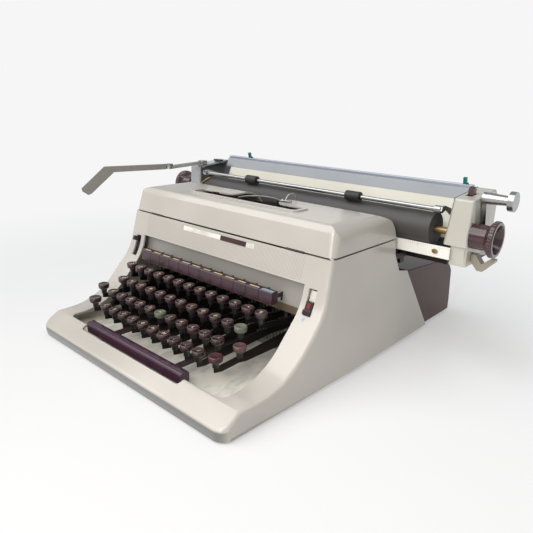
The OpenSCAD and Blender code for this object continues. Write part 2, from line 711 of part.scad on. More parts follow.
// Bell and mainspring drum
module bell() color(c_steel) translate([-95, yr - 72, pan_top + 14]) difference() {
    union() {
        rotate_extrude() polygon(concat(arc([0, 0], 20, 0, 90, 8), arc([0, 0], 18.5, 90, 0, 8)));
        translate([0, 0, -14]) cylinder(r = 3, h = 33);
    }
    translate([0, 0, -30]) cylinder(r = 1, h = 80);
}
drum_r = 24;
drum_x = 105;
drum_y = yr - 59;
drum_z = 50;
drum_post_r = 4;
module mainspring_drum() color(c_steel) translate([drum_x, drum_y, drum_z - 8]) difference() {
    rotate_extrude() polygon([
        [0, 0], [drum_r, 0], [drum_r, 2], [drum_r - 2, 3], [drum_r - 2, 13], [drum_r, 14],
            [drum_r, 16], [0, 16]]);
    translate([0, 0, -1]) cylinder(r = drum_post_r + running, h = 30);
}

// Carriage
cx0 = carriage_x - carriage_len / 2;
cx1 = carriage_x + carriage_len / 2;
inner0 = cx0 + end_w;
inner1 = cx1 - end_w;
platen_len = carriage_len - 2 * (end_w + platen_gap);
py = yf + platen_dist;
pz = platen_z;
rail_h = 11;
rail_y0 = yf + 280;
rail_y1 = yf + 308;
module carriage_rail() color(c_steel) difference() {
    block(-frame_x - frame_t, frame_x + frame_t, rail_y0, rail_y1, rail_z, rail_z + rail_h);
    block(-frame_x - 10, frame_x + 10, rail_y0 + 9, rail_y1 - 9, rail_z + 5, rail_z + rail_h + 5);
}
bed_z = rail_z + rail_h + slide_gap;
bed_t = 7;
bed_y0 = yf + 278.5;
bed_y1 = yf + 350;
plate_t = 3;
shelf_lap = 4;
bed_end = 54;
bed_cut = 28;
shelf_t = 4;
shelf_z = bed_z + bed_t + 2;
plate_in = 2;
feed_y = py + 3;
feed_z = pz - platen_r - feed_r - slide_gap;
bail_piv = [py + 26, pz + 14];
bail_pin_r = 2.5;
feed_pin_r = 2;
release_pin_r = 2;
chrome_pin_r = 3;
module carriage_frame() color(c_steel) difference() {
    union() {
        block(inner0 + bed_end, inner1 - bed_end, bed_y0, bed_y1, bed_z, bed_z + bed_t);
        block(inner0 + shelf_lap, inner1 - shelf_lap, bed_y0 + bed_cut, bed_y1, bed_z, bed_z + bed_t);
        // Raised shelves into the end covers
        for (x = [cx0 + plate_in, inner1 - 3 * shelf_lap])
            block(x, x + end_w - plate_in + 3 * shelf_lap, bed_y0 + bed_cut, bed_y1,
                shelf_z, shelf_z + shelf_t);
        for (x = [inner0 + shelf_lap, inner1 - 3 * shelf_lap])
            block(x, x + 2 * shelf_lap, bed_y0 + bed_cut, bed_y1, bed_z + bed_t - 0.01, shelf_z + shelf_t);
        // Tongue that runs in the rail's groove
        block(inner0 + bed_end, inner1 - bed_end, rail_y0 + 9 + slide_gap, rail_y1 - 9 - slide_gap,
            rail_z + 5 + slide_gap, bed_z + 0.01);
        // Front flange behind the line scale
        block(inner0 + bed_end, inner1 - bed_end, bed_y0, bed_y0 + 2, bed_z, bed_z + bed_t + 15);
        block(inner0 + shelf_lap, inner1 - shelf_lap, bed_y0, bed_y0 + 2, scale_z + 1, bed_z + bed_t + 15);
        for (x = [cx0 + plate_in, cx1 - plate_in - plate_t])
            along_x(x, x + plate_t) polygon([
                [bed_y0 + 5, shelf_z], [bed_y1, shelf_z], [bed_y1, pz + 27], [py + 14, pz + 27],
                [py - 6.5, pz + 12], [bed_y0 + 5, pz - 10]]);
        // Brackets under the paper table
        for (side = [-1, 1])
            block(carriage_x + side * 110 - 6, carriage_x + side * 110 + 6, table_low[0] - 1,
                table_low[0] + 4,
                bed_z + bed_t - 0.01, table_low[1] - 0.6);
    }
    rod_x(cx0 - 1, cx1 + 1, py, pz, shaft_r + running);
    rod_x(cx0 - 1, cx1 + 1, feed_y, feed_z, feed_pin_r + running);
    rod_x(cx0 - 1, cx1 + 1, bail_piv[0], bail_piv[1], bail_pin_r + running);
    rod_x(cx1 - 20, cx1 + 1, release_piv[0], release_piv[1], release_pin_r + running);
}
end_front = yf + 279;
end_back = yf + 352;
end_low = 141.5;
end_top_front = 192;
end_top_back = 198;
end_taper = 6;
left_drop = 6;
skin = 2;
module end_block(t, drop) {
    low = end_low - (t > 0 ? 5 : 0);
    side = t > 0 ? -5 : 0;
    intersection() {
        along_x(side, end_w - t) polygon([
            [end_front + t, low], [end_front + 3 + t, end_top_front - drop - t],
            [end_back - 8 - t, end_top_back - drop - t], [end_back - t, end_top_back - drop - 8 - t],
            [end_back - t, low]]);
        along_y(yf, yr + 50) polygon([
            [side, 0], [end_w - t, 0], [end_w - t, end_top_back + 10],
                [side + end_taper, end_top_back + 10],
            [side, end_low]]);
    }
}
skirt_front = end_front + 2;
skirt_back = end_front + 40;
skirt_low = 120;
release_slot = [py + 8, py + 24];
module end_cover(drop) difference() {
    union() {
        end_block(0, drop);
        block(8, end_w, skirt_front, skirt_back, skirt_low, end_low + 0.01);
    }
    end_block(skin, drop);
    block(-1, end_w - skin, skirt_front + skin, skirt_back + 1, skirt_low - 1, end_low + 1);
    rod_x(-5, end_w + 5, py, pz, shaft_r + 2);
}
end_x = cx1 - end_w;
module end_cover_right() color(c_casing) difference() {
    translate([end_x, 0, 0]) end_cover(0);
    block(cx1 - 17, cx1 - 9, release_slot[0], release_slot[1], pz + 20, end_top_back + 10);
    rod_x(cx1 - 8, cx1 + 8, chrome_piv[0], chrome_piv[1], chrome_pin_r + running);
    rod_x(cx1 - 8, cx1 + 8, lock_piv[0], lock_piv[1], lock_pin_r + running);
}
module end_cover_left() color(c_casing) difference() {
    translate([2 * carriage_x, 0, 0]) mirror([1, 0, 0]) translate([end_x, 0, 0]) end_cover(left_drop);
    translate([hub[0], hub[1], pz + 20]) cylinder(r = hub_pin_r + running, h = 40);
    translate([selector[0], selector[1], pz + 20]) cylinder(r = selector_pin_r + running, h = 40);
}
table_low = [py + 24, pz - 14];
table_top = [py + 42, pz + 29];
module paper_table() color(c_cream) along_x(inner0 + 14, inner1 - 14) polygon([
    table_low, table_top, table_top + [1.5, -0.6], table_low + [1.5, -0.6]]);
module carriage_cover() color(c_casing) along_x(inner0 + 0.5, inner1 - 0.5) polygon([
    table_top + [1.5, -0.6], [end_back - 12, end_top_back - 2], [end_back - 2, end_top_back - 2],
        [end_back, end_top_back - 5],
    [end_back, bed_z + 0.5], [end_back - 2, bed_z + 0.5], [end_back - 2, end_top_back - 5.6],
    [end_back - 2.6, end_top_back - 4], [end_back - 12, end_top_back - 4], table_top + [3.5, -1.2]]);
margin_y0 = end_back - 11;
margin_y1 = end_back - 3;
module margin_rail() color(c_steel) difference() {
    block(inner0 + 1, inner1 - 1, margin_y0, margin_y1, end_top_back - 2, end_top_back + 1);
    block(inner0 + 6, inner1 - 6, margin_y0 + 2.5, margin_y1 - 2.5, end_top_back - 0.6, end_top_back + 5);
}
module margin_stop() union() {
    block(-3, 3, margin_y0 + 2.5 + slide_gap, margin_y1 - 2.5 - slide_gap, end_top_back - 0.3,
        end_top_back + 3);
    translate([0, margin_y0 + 2, end_top_back + 1 + slide_gap]) rotate([14, 0, 0]) translate([-2,
        -1.6, 0]) cube([4, 3.2, 8]);
}
stop_left_x = inner0 + 46;
stop_right_x = inner1 - 10;
module margin_stop_left() color(c_teal) translate([stop_left_x, 0, 0]) margin_stop();
module margin_stop_right() color(c_teal) translate([stop_right_x, 0, 0]) margin_stop();
scale_z = 125.5;
scale_t = 1.2;
module line_scale() color(c_cream)
    block(inner0 + 4, inner1 + 9, bed_y0 - scale_t, bed_y0, scale_z, scale_z + scale_h);
module platen() color(c_black) difference() {
    rod_x(carriage_x - platen_len / 2, carriage_x + platen_len / 2, py, pz, platen_r);
    rod_x(cx0, cx1, py, pz, shaft_r);
}
module platen_shaft() color(c_brass) rod_x(cx0 - knob_len + 8, cx1 + knob_len - 8, py, pz, shaft_r);
// Knob with a flared, hollow rim; its foot is at the origin and it points along +X
knob_gap = 0.6;
module knob() rotate([0, 90, 0]) difference() {
    rotate_extrude() polygon([
        [shaft_r, knob_gap], [knob_barrel_r, knob_gap], [knob_barrel_r, knob_len - 10],
            [knob_r - 2, knob_len - 7],
        [knob_r, knob_len - 5], [knob_r, knob_len - 1], [knob_r - 1, knob_len], [knob_r - 4, knob_len],
        [knob_r - 7, knob_len - 8], [shaft_r, knob_len - 9]]);
    for (i = [0:35])
        rotate([0, 0, i * 10]) translate([knob_r + 0.35, 0, knob_len - 5.5]) cylinder(r = 0.8, h = 4);
}
module platen_knobs() color(c_maroon) {
    translate([cx1, py, pz]) knob();
    translate([cx0, py, pz]) mirror([1, 0, 0]) knob();
}
module feed_rollers() color(c_black) union() {
    rod_x(cx0 + plate_in + 0.3, cx1 - plate_in - 0.3, feed_y, feed_z, feed_pin_r);
    for (k = [-1.5:1:1.5])
        rod_x(carriage_x + k * 85 - 20, carriage_x + k * 85 + 20, feed_y, feed_z, feed_r);
}

// Paper bail
bail_d = platen_r + roller_r + 0.5;
bail_a = 109;
bail_y = py + bail_d * cos(bail_a);
bail_z = pz + bail_d * sin(bail_a);
bail_x0 = inner0 + 6;
bail_x1 = inner1 - 6;
arm_t = 2;
module bail_arm(x) along_x(x, x + arm_t) polygon([
    [bail_y - 3.5, bail_z - 1], [bail_y - 2, bail_z + 3.5], [bail_y + 6, bail_z + 4],
        [bail_piv[0] + 3, bail_piv[1] + 4],
    [bail_piv[0] + 4, bail_piv[1] - 3], [bail_piv[0] - 3, bail_piv[1] - 4],
        [bail_y + 8, bail_z - 0.5], [bail_y, bail_z - 3.5]]);
module bail_frame() color(c_steel) union() {
    rod_x(bail_x0, bail_x1, bail_y, bail_z, bail_r);
    for (x = [bail_x0, bail_x1 - arm_t]) bail_arm(x);
    for (x = [bail_x0 + arm_t, bail_x1 - arm_t - 7])
        rod_x(x, x + 7, bail_y, bail_z, bail_r + 1.8);
    // Stub pins into the end plates
    rod_x(cx0 + plate_in + 0.5, bail_x0 + 0.5, bail_piv[0], bail_piv[1], bail_pin_r);
    rod_x(bail_x1 - 0.5, cx1 - plate_in - 0.5, bail_piv[0], bail_piv[1], bail_pin_r);
}
roller_x = [carriage_x - 91, carriage_x + 80];
module bail_rollers() color(c_black) for (x = roller_x) difference() {
    rod_x(x - roller_len / 2, x + roller_len / 2, bail_y, bail_z, roller_r);
    rod_x(x - roller_len, x + roller_len, bail_y, bail_z, bail_r + running);
}

// Return lever on the left end cover
hub = [cx0 + 17, py + 2];
hub_z = 188.2;
hub_pin_r = 3;
hub_r = 7;
arm_end = [cx0 + 33, yf + 215];
bend_end = [cx0 - 14, yf + 135];
lever_w = 9;
lever_thick = 4;
module flat_bar(a, b, w, z0, h) {
    d = b - a;
    translate([a[0], a[1], z0]) rotate([0, 0, atan2(d[1], d[0])])
        translate([0, -w / 2, 0]) cube([norm(d), w, h]);
}
module return_lever() color(c_steel) union() {
    translate([hub[0], hub[1], hub_z]) cylinder(r = hub_r, h = 5);
    flat_bar(hub, arm_end, lever_w, hub_z, lever_thick);
    translate([arm_end[0], arm_end[1], hub_z]) cylinder(r = lever_w / 2 + 0.6, h = lever_thick);
    translate([hub[0], hub[1], hub_z - 6]) cylinder(r = hub_pin_r, h = 8);
}
// The handle is an upright blade that drops at its end, seen from the side
blade_t = 5;
blade_low = hub_z - 1.6;
blade_top = hub_z + lever_thick + 2.8;
blade_tip = 123.4;
blade_bend = 91;
blade_drop = 30;
blade_w = 13;
handle_dir = bend_end - arm_end;
handle_a = atan2(handle_dir[1], handle_dir[0]);
module return_handle() color(c_casing) translate([arm_end[0], arm_end[1], 0]) union() {
    translate([0, 0, hub_z + lever_thick]) cylinder(r = lever_w / 2 + 0.5, h = 2.8);
    rotate([90, 0, handle_a]) translate([0, 0, -blade_t / 2]) linear_extrude(blade_t) polygon([
        [0, hub_z + lever_thick], [0, blade_top], [blade_bend, blade_top - 2.8],
        [blade_tip, blade_top - blade_drop - 2.6], [blade_tip - 1, blade_top - blade_drop - 6.4],
        [blade_tip - 8.6, blade_top - blade_drop - 11.7],
            [blade_tip - blade_w, blade_top - blade_drop - 10],
        [blade_bend - blade_w, blade_low - 2], [lever_w / 2 + 1, blade_low + 1],
        [lever_w / 2 + 1, hub_z + lever_thick]]);
}
selector = [cx0 + 15, py + 33];
selector_pin_r = 2;
module line_space_selector() color(c_black)
    translate([selector[0], selector[1], end_top_back - left_drop - 1]) union() {
        cylinder(r = 4.5, h = 2.5);
        translate([0, -3.5, 0]) cube([13, 7, 2.5]);
        translate([0, 0, -6]) cylinder(r = selector_pin_r, h = 7);
    }

// Levers at the right end
release_piv = [py + 16, pz + 22];
module paper_release_lever() color(c_maroon) union() {
    along_x(cx1 - 16, cx1 - 10) polygon([
        [release_piv[0] - 4, release_piv[1] - 4], [release_piv[0] + 4, release_piv[1] - 4],
        [release_piv[0] + 3, release_piv[1] + 14], [release_piv[0] + 5, release_piv[1] + 24],
        [release_piv[0] + 2, release_piv[1] + 27], [release_piv[0] - 3, release_piv[1] + 24],
        [release_piv[0] - 3, release_piv[1] + 10]]);
    rod_x(cx1 - 11, cx1 - plate_in - 0.5, release_piv[0], release_piv[1], release_pin_r);
}
chrome_piv = [py + 24, pz + 6];
chrome_top = [py + 14, pz + 39];
chrome_reach = 34;
chrome_t = 5;
module carriage_release_lever() color(c_steel) union() {
    along_x(cx1 + slide_gap + 0.4, cx1 + slide_gap + 0.4 + chrome_t) polygon([
        [chrome_piv[0] - 5, chrome_piv[1] - 5], [chrome_piv[0] + 5, chrome_piv[1] - 5],
        [chrome_top[0] + 6, chrome_top[1] + 4], [chrome_top[0] - 5, chrome_top[1] + 4]]);
    rod_x(cx1 - skin, cx1 + slide_gap + 1, chrome_piv[0], chrome_piv[1], chrome_pin_r);
    translate([cx1 + slide_gap + 0.5, chrome_top[0], chrome_top[1]]) rotate([0, 90, 0])
        cylinder(r1 = 6.5, r2 = 5, h = chrome_reach - 5);
    rod_x(cx1 + chrome_reach - 6, cx1 + chrome_reach, chrome_top[0], chrome_top[1], 10.4);
}
lock_piv = [py + 8, skirt_low + 9];
lock_pin_r = 2.5;
module carriage_lock_lever() color(c_casing) union() {
    translate([cx1 + slide_gap, 0, 0]) along_y(lock_piv[0] - 5, lock_piv[0] + 5) polygon([
        [0, lock_piv[1] - 4], [8, lock_piv[1] - 13], [14, lock_piv[1] - 13], [25, lock_piv[1] - 1],
        [25, lock_piv[1] + 2], [20, lock_piv[1] + 2], [12, lock_piv[1] - 5], [5, lock_piv[1] + 4],
        [0, lock_piv[1] + 4]]);
    rod_x(cx1 - skin, cx1 + slide_gap + 1, lock_piv[0], lock_piv[1], lock_pin_r);
}

// Levers in the casing's borders
module colour_selector() color(c_maroon) on_border(1) union() {
    translate([-slot_w / 2 + 0.8, -slot_len / 2 + 1, -wall]) cube([slot_w - 1.6, 14, wall + 1.5]);
    translate([-slot_w / 2 + 0.8, -slot_len / 2 + 1, 0]) cube([slot_w - 1.6, 5, 4]);
    translate([-slot_w / 2 - 2, -slot_len / 2 - 3, -wall - slide_gap - 2]) cube([slot_w + 4,
        slot_len - 6, 2]);
    translate([-slot_w / 2 + 0.8, -slot_len / 2 + 1, -wall - slide_gap - 0.1]) cube([slot_w - 1.6,
        14, wall]);
}
module touch_lever() color(c_black) on_border(-1) union() {
    translate([-2, slot_len / 2 - 8, -wall * 2]) cube([4, 6, wall * 2 + 9]);
    translate([-slot_w / 2 - 2, -slot_len / 2 + 8, -wall - slide_gap - 2]) cube([slot_w + 4,
        slot_len - 8, 2]);
}

// Whole machine, centred on its own box from left to right
left_reach = arm_end[0] + blade_tip * cos(handle_a) - blade_t / 2 * abs(sin(handle_a));
right_reach = cx1 + chrome_reach;
module place() translate([-(left_reach + right_reach) / 2, 0, 0]) children();

place() body_shell();
place() rear_housing();
place() base_pan();
place() feet();
place() side_frames();
place() key_back_plate();
place() key_comb();
place() pivot_shafts();
place() key_cross_bar();
place() type_segment();
place() typebars();
place() centre_typebar();
place() carriage_rail();
place() top_cover();
place() cover_hinge_pins();
place() ribbon_spool_left();
place() ribbon_spool_right();
place() spool_brackets();
place() ribbon();
place() ribbon_vibrator();
place() bell();
place() mainspring_drum();
place() carriage_frame();
place() end_cover_left();
place() end_cover_right();
place() carriage_cover();
place() paper_table();
place() margin_rail();
place() line_scale();
place() feed_rollers();
place() platen();
place() platen_shaft();
place() platen_knobs();
place() bail_frame();
place() bail_rollers();
place() return_lever();
place() return_handle();
place() line_space_selector();
place() margin_stop_left();
place() margin_stop_right();
place() paper_release_lever();
place() carriage_release_lever();
place() carriage_lock_lever();
place() colour_selector();
place() touch_lever();
place() space_bar();
place() shift_keys();
place() shift_lock_key();
place() backspace_key();
place() margin_key();
place() tab_keys();
place() key_caps_1();
place() key_caps_2();
place() key_caps_3();
place() key_caps_4();
place() key_levers_1();
place() key_levers_2();
place() key_levers_3();
place() key_levers_4();
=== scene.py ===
# %% Load the frame
import json
from math import radians, degrees, sin, cos, tan, sqrt, pi, atan2, hypot

import bmesh
import bpy
from mathutils import Matrix, Vector


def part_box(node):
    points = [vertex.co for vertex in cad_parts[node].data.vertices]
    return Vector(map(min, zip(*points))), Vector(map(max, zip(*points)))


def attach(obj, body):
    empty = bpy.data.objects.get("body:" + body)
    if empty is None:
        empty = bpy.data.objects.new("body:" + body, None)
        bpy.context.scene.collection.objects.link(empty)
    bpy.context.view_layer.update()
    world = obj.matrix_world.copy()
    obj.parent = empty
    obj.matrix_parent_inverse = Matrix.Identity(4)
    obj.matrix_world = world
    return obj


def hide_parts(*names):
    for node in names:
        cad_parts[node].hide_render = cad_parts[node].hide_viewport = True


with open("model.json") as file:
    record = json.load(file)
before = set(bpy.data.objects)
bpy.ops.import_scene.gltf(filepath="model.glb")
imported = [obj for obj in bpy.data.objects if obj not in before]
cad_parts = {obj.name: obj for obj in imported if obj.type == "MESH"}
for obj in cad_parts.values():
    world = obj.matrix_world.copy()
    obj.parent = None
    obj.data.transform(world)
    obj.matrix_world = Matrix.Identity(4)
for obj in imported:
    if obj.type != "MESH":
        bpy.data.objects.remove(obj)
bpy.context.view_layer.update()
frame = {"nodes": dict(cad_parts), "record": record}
nodes = frame["nodes"]
scene = bpy.context.scene

# %% [markdown]
# The machine's middle plane isn't the middle of its box, because the carriage and its
# levers reach further to one side. Most places below are written in millimetres from the
# middle plane of the casing, as they would be measured on the bench, and one small
# function turns them into the frame's metres.

# %% Bench millimetres to frame metres
MID = -0.5 * (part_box("body_shell")[0].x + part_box("body_shell")[1].x)
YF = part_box("body_shell")[0].y * 1000


def mm(x, y, z):
    return Vector((x / 1000 - MID, y / 1000, z / 1000))


def behind_lip(distance):
    """The frame's y at a distance in mm behind the casing's front."""
    return (YF + distance) / 1000


print("middle plane is", round(MID * 1000, 2), "mm left of the box's middle, lip at", round(YF, 1))

# %% [markdown]
# The camera stands to the right of the machine and a little above it, and looks at it
# over the keyboard's right corner. Its place and turn were worked out from the straight
# edges of the casing, so it is set as a matrix: right, up and back are its three axes.

# %% Camera
cam = bpy.data.cameras.new("camera")
cam.sensor_width = 36.0
cam.lens = 35.235
camera = bpy.data.objects.new("camera", cam)
scene.collection.objects.link(camera)


def axes(a, b, c, origin):
    """A matrix from its three directions and its place."""
    return Matrix(((a.x, b.x, c.x, origin.x), (a.y, b.y, c.y, origin.y),
                   (a.z, b.z, c.z, origin.z), (0, 0, 0, 1)))


right = Vector((0.7381683, 0.6742473, 0.0223203))
up = Vector((-0.2211924, 0.2106403, 0.9522104))
back = Vector((0.6373237, -0.7078286, 0.3046263))
place = mm(444.19, -479.21, 286.87)
camera.matrix_world = axes(right, up, back, place)
scene.camera = camera
print("camera at", [round(v, 4) for v in place])

# %% [markdown]
# Shader sums are easier to read as sums. This small class wraps one output of a node and
# adds a Math node for each plus, minus or times, so that a mask can be written as
# 1 - mask.

# %% Shader sums
class Wire:
    def __init__(self, sheet, socket):
        self.sheet, self.socket = sheet, socket

    def _sum(self, op, a, b):
        return self.sheet.add("ShaderNodeMath", {"operation": op}, {0: a, 1: b})

    def __add__(self, o): return self._sum("ADD", self, o)
    def __radd__(self, o): return self._sum("ADD", o, self)
    def __sub__(self, o): return self._sum("SUBTRACT", self, o)
    def __rsub__(self, o): return self._sum("SUBTRACT", o, self)
    def __mul__(self, o): return self._sum("MULTIPLY", self, o)
    def __rmul__(self, o): return self._sum("MULTIPLY", o, self)
    def __pow__(self, o): return self._sum("POWER", self, o)
    def sine(self): return self._sum("SINE", self, 0.0)
    def size(self): return self._sum("ABSOLUTE", self, 0.0)
    def most(self, o): return self._sum("MAXIMUM", self, o)
    def above(self, o): return self._sum("GREATER_THAN", self, o)
    def below(self, o): return self._sum("LESS_THAN", self, o)
    def part(self): return self._sum("FRACT", self, 0.0)

    def ramp(self, low, high):
        """0 below low, 1 above high, and smooth between them."""
        return self.sheet.add("ShaderNodeMapRange", {"interpolation_type": "SMOOTHSTEP"},
                              {"Value": self, "From Min": low, "From Max": high})


print("shader sums ready")

# %% [markdown]
# A finish is one material with a Principled shader. Every node is added by one method that
# takes its type, its settings and what goes into its sockets, and a few short methods
# name the nodes that all the finishes share: noise, a mix of two colours, a bump and
# stretched coordinates. They read Object coordinates, so a pattern stays on its piece.

# %% Finishes as expressions
class Finish:
    """A material whose nodes are added by expressions."""

    def __init__(self, name):
        self.mat = bpy.data.materials.new(name)
        self.mat.use_nodes = True
        self.tree = self.mat.node_tree
        self.shader = self.tree.nodes["Principled BSDF"]

    def add(self, kind, settings=None, ins=None, out=0):
        n = self.tree.nodes.new(kind)
        for k, v in (settings or {}).items():
            setattr(n, k, v)
        for k, v in (ins or {}).items():
            self.link(v, n.inputs[k])
        return Wire(self, n.outputs[out])

    def link(self, value, socket):
        if isinstance(value, Wire):
            self.tree.links.new(value.socket, socket)
        else:
            socket.default_value = value

    def set(self, **values):
        for k, v in values.items():
            self.link(v, self.shader.inputs[k.replace("_", " ")])

    def place(self):
        """Object coordinates, and then x, y and z in metres from the frame's origin."""
        at = self.add("ShaderNodeTexCoord", out="Object")
        xyz = self.tree.nodes.new("ShaderNodeSeparateXYZ")
        self.tree.links.new(at.socket, xyz.inputs[0])
        return [at] + [Wire(self, out) for out in xyz.outputs]

    def noise(self, at, scale, detail=3.0, rough=0.55):
        return self.add("ShaderNodeTexNoise", {}, {
            "Vector": at, "Scale": scale, "Detail": detail, "Roughness": rough}, out="Fac")

    def mix(self, factor, a, b):
        n = self.tree.nodes.new("ShaderNodeMix")
        n.data_type = "RGBA"
        self.link(factor, n.inputs["Factor"])
        for value, name in ((a, "A"), (b, "B")):
            socket = [s for s in n.inputs if s.name == name and s.type == "RGBA"][0]
            self.link(value if isinstance(value, Wire) else tuple(value) + (1.0,), socket)
        return Wire(self, [s for s in n.outputs if s.type == "RGBA"][0])

    def bump(self, height, strength, distance):
        return self.add("ShaderNodeBump", {}, {
            "Height": height, "Strength": strength, "Distance": distance})

    def stretch(self, at, x, y, z):
        return self.add("ShaderNodeMapping", {}, {"Vector": at, "Scale": (x, y, z)})


print("finishes can be written")

# %% [markdown]
# Colours are written as a screen shows them, from 0 to 255, and turned into the linear
# values that light is reckoned in. Most finishes also need a paler or a deeper shade of
# their own tone.

# %% Colours
def srgb(r, g, b):
    def one(v):
        v /= 255
        return v / 12.92 if v <= 0.04045 else ((v + 0.055) / 1.055) ** 2.4
    return (one(r), one(g), one(b))


def shaded(tone, share):
    return tuple(min(1.0, v * share) for v in tone)


print("a middle grey is", [round(v, 3) for v in srgb(128, 128, 128)])

# %% [markdown]
# The casing's paint is a warm light grey with a low shine. Real enamel isn't one colour:
# it has a faint large cloud of tone, a fine orange peel that breaks up reflections, and
# a few specks of dirt. The fine upright ribs of the front panel are pressed into the
# metal; they are only 1.8 mm apart, so they are drawn as a bump inside the panel's area,
# with painted shade in their hollows and a painted highlight on their crests.
# The front lip turns under, and its shade is painted in as a darker, greyer paint.

# %% Casing paint
RIB_STEP, RIB_HALF, RIB_LOW, RIB_HIGH, RIB_BACK = 0.0018, 0.134, 0.1105, 0.1358, -0.066
RIB_FADE = 0.001
SHADE_LOW, SHADE_HIGH = 0.0110, 0.0136


def casing_paint(name, tone, ribs=False, shine=0.21):
    f = Finish(name)
    at, x, y, z = f.place()
    cloud = f.noise(at, 9.0, 2.0)
    grain = f.noise(at, 1400.0, 2.0)
    dirt = f.noise(at, 330.0, 4.0, 0.65).ramp(0.66, 0.74)
    base = f.mix(cloud.ramp(0.3, 0.7), shaded(tone, 0.93), shaded(tone, 1.05))
    base = f.mix(dirt * 0.22, base, shaded(tone, 0.5))
    height = grain * 0.25
    if ribs:
        across = x + MID
        inside = across.size().below(RIB_HALF) * z.ramp(RIB_LOW, RIB_LOW + RIB_FADE)
        inside = inside * (1 - z.ramp(RIB_HIGH, RIB_HIGH + RIB_FADE)) * y.below(RIB_BACK)
        wave = (across * (2 * pi / RIB_STEP)).sine() * 0.5 + 0.5
        height = height + wave * inside * 7.0
        # Painted shade and highlight: the ribs' hollows are drawn darker and their crests paler.
        base = f.mix(inside * (1 - wave) * 0.7, base, shaded(tone, 0.66))
        base = f.mix(inside * wave * 0.6, base, shaded(tone, 1.15))
        # Painted shade: the turned-under front lip is drawn in a darker grey.
        lip = (1 - z.ramp(SHADE_LOW, SHADE_HIGH)) * (1 - y.ramp(behind_lip(1), behind_lip(14)))
        base = f.mix(lip, base, srgb(108, 108, 106))
    f.set(Base_Color=base, Roughness=cloud * 0.08 + grain * 0.05 + (shine - 0.08))
    f.set(Normal=f.bump(height, 0.35, 0.00012), Coat_Weight=0.4, Coat_Roughness=0.1)
    return f.mat


paint_casing = casing_paint("casing_paint", srgb(192, 186, 177), ribs=True)
paint_carriage = casing_paint("carriage_paint", srgb(191, 188, 177))
# Painted shade: the wall behind the keys has the casing's grey, drawn darker for its recess.
paint_wall_shade = casing_paint("wall_shade_paint", srgb(164, 160, 154), shine=0.4)
paint_band = casing_paint("band_paint", srgb(138, 142, 147), shine=0.3)
paint_seam = casing_paint("seam_shade", srgb(34, 30, 30), shine=0.6)
# Painted shade: the left end cover has the carriage's paint, drawn in a cooler, darker grey.
paint_left_shade = casing_paint("left_end_shade_paint", srgb(160, 162, 165))
paint_plate = casing_paint("plate_paint", srgb(142, 144, 148), shine=0.34)
paint_lock = casing_paint("lock_paint", srgb(150, 142, 126), shine=0.35)
print("casing paint ready")

# %% [markdown]
# The dark red brown plastics are moulded and glossy. They differ in tone: the keys are
# the reddest, the space bar and the tabulator keys are nearly purple, and the hood at
# the back is a browner maroon. A slow cloud of tone and a haze of fine scratches in
# the roughness keep their highlights from looking like glass.

# %% Moulded plastics
def moulded(name, tone, shine=0.24, haze=0.16, coat=0.25, mirror=0.5):
    f = Finish(name)
    at = f.place()[0]
    cloud = f.noise(at, 35.0, 3.0)
    scuff = f.noise(f.stretch(at, 1.0, 6.0, 1.0), 420.0, 4.0, 0.7)
    dust = f.noise(at, 900.0, 3.0, 0.6).ramp(0.64, 0.74)
    base = f.mix(cloud.ramp(0.3, 0.72), shaded(tone, 0.8), shaded(tone, 1.22))
    base = f.mix(dust * 0.10, base, srgb(170, 155, 145))
    f.set(Base_Color=base, Roughness=scuff * haze + cloud * 0.06 + (shine - 0.08))
    f.set(Normal=f.bump(cloud * 0.6 + scuff * 0.2, 0.12, 0.0002))
    f.set(Specular_IOR_Level=mirror, Coat_Weight=coat, Coat_Roughness=0.18)
    return f.mat


plastic_key = moulded("key_plastic", srgb(54, 31, 34), shine=0.16, coat=0.5)
plastic_bar = moulded("bar_plastic", srgb(60, 30, 49), shine=0.2)
plastic_tab = moulded("tab_plastic", srgb(54, 28, 40), shine=0.26)
plastic_hood = moulded("hood_plastic", srgb(68, 34, 33), shine=0.30, haze=0.08, coat=0.0,
                       mirror=0.25)
plastic_knob = moulded("knob_plastic", srgb(62, 36, 40), shine=0.15, haze=0.08, coat=0.5)
plastic_rose = moulded("rose_plastic", srgb(76, 46, 48))
plastic_green = moulded("green_plastic", srgb(100, 105, 88))
plastic_pink = moulded("pink_plastic", srgb(92, 66, 66))
plastic_teal = moulded("teal_plastic", srgb(26, 118, 112))
plastic_black = moulded("black_plastic", srgb(30, 29, 30), shine=0.34)
plastic_white = moulded("white_plastic", srgb(226, 222, 212), shine=0.34, coat=0.0)
plastic_red = moulded("red_plastic", srgb(172, 44, 36), shine=0.34)
print("plastics ready")

# %% [markdown]
# Bare metal is drawn by its direction: brushed steel has fine lines along the piece,
# chrome is smoother with a little haze, brass has dull spots, and the levers under the
# keys are blackened steel with darker specks of wear.

# %% Metals
def metal(name, tone, rough, lines, grain=0.12, spots=0.0, metallic=1.0):
    f = Finish(name)
    at = f.place()[0]
    brushed = f.noise(f.stretch(at, *lines), 700.0, 4.0, 0.7)
    cloud = f.noise(at, 24.0, 3.0)
    spot = f.noise(at, 160.0, 4.0, 0.6).ramp(0.6, 0.72)
    base = f.mix(brushed, shaded(tone, 0.82), shaded(tone, 1.12))
    base = f.mix(spot * spots, base, shaded(tone, 0.45))
    f.set(Base_Color=base, Metallic=metallic - spot * (spots * 0.5))
    f.set(Roughness=brushed * grain + cloud * 0.08 + spot * (spots * 0.3) + (rough - 0.06))
    f.set(Normal=f.bump(brushed, 0.08, 0.0001))
    return f.mat


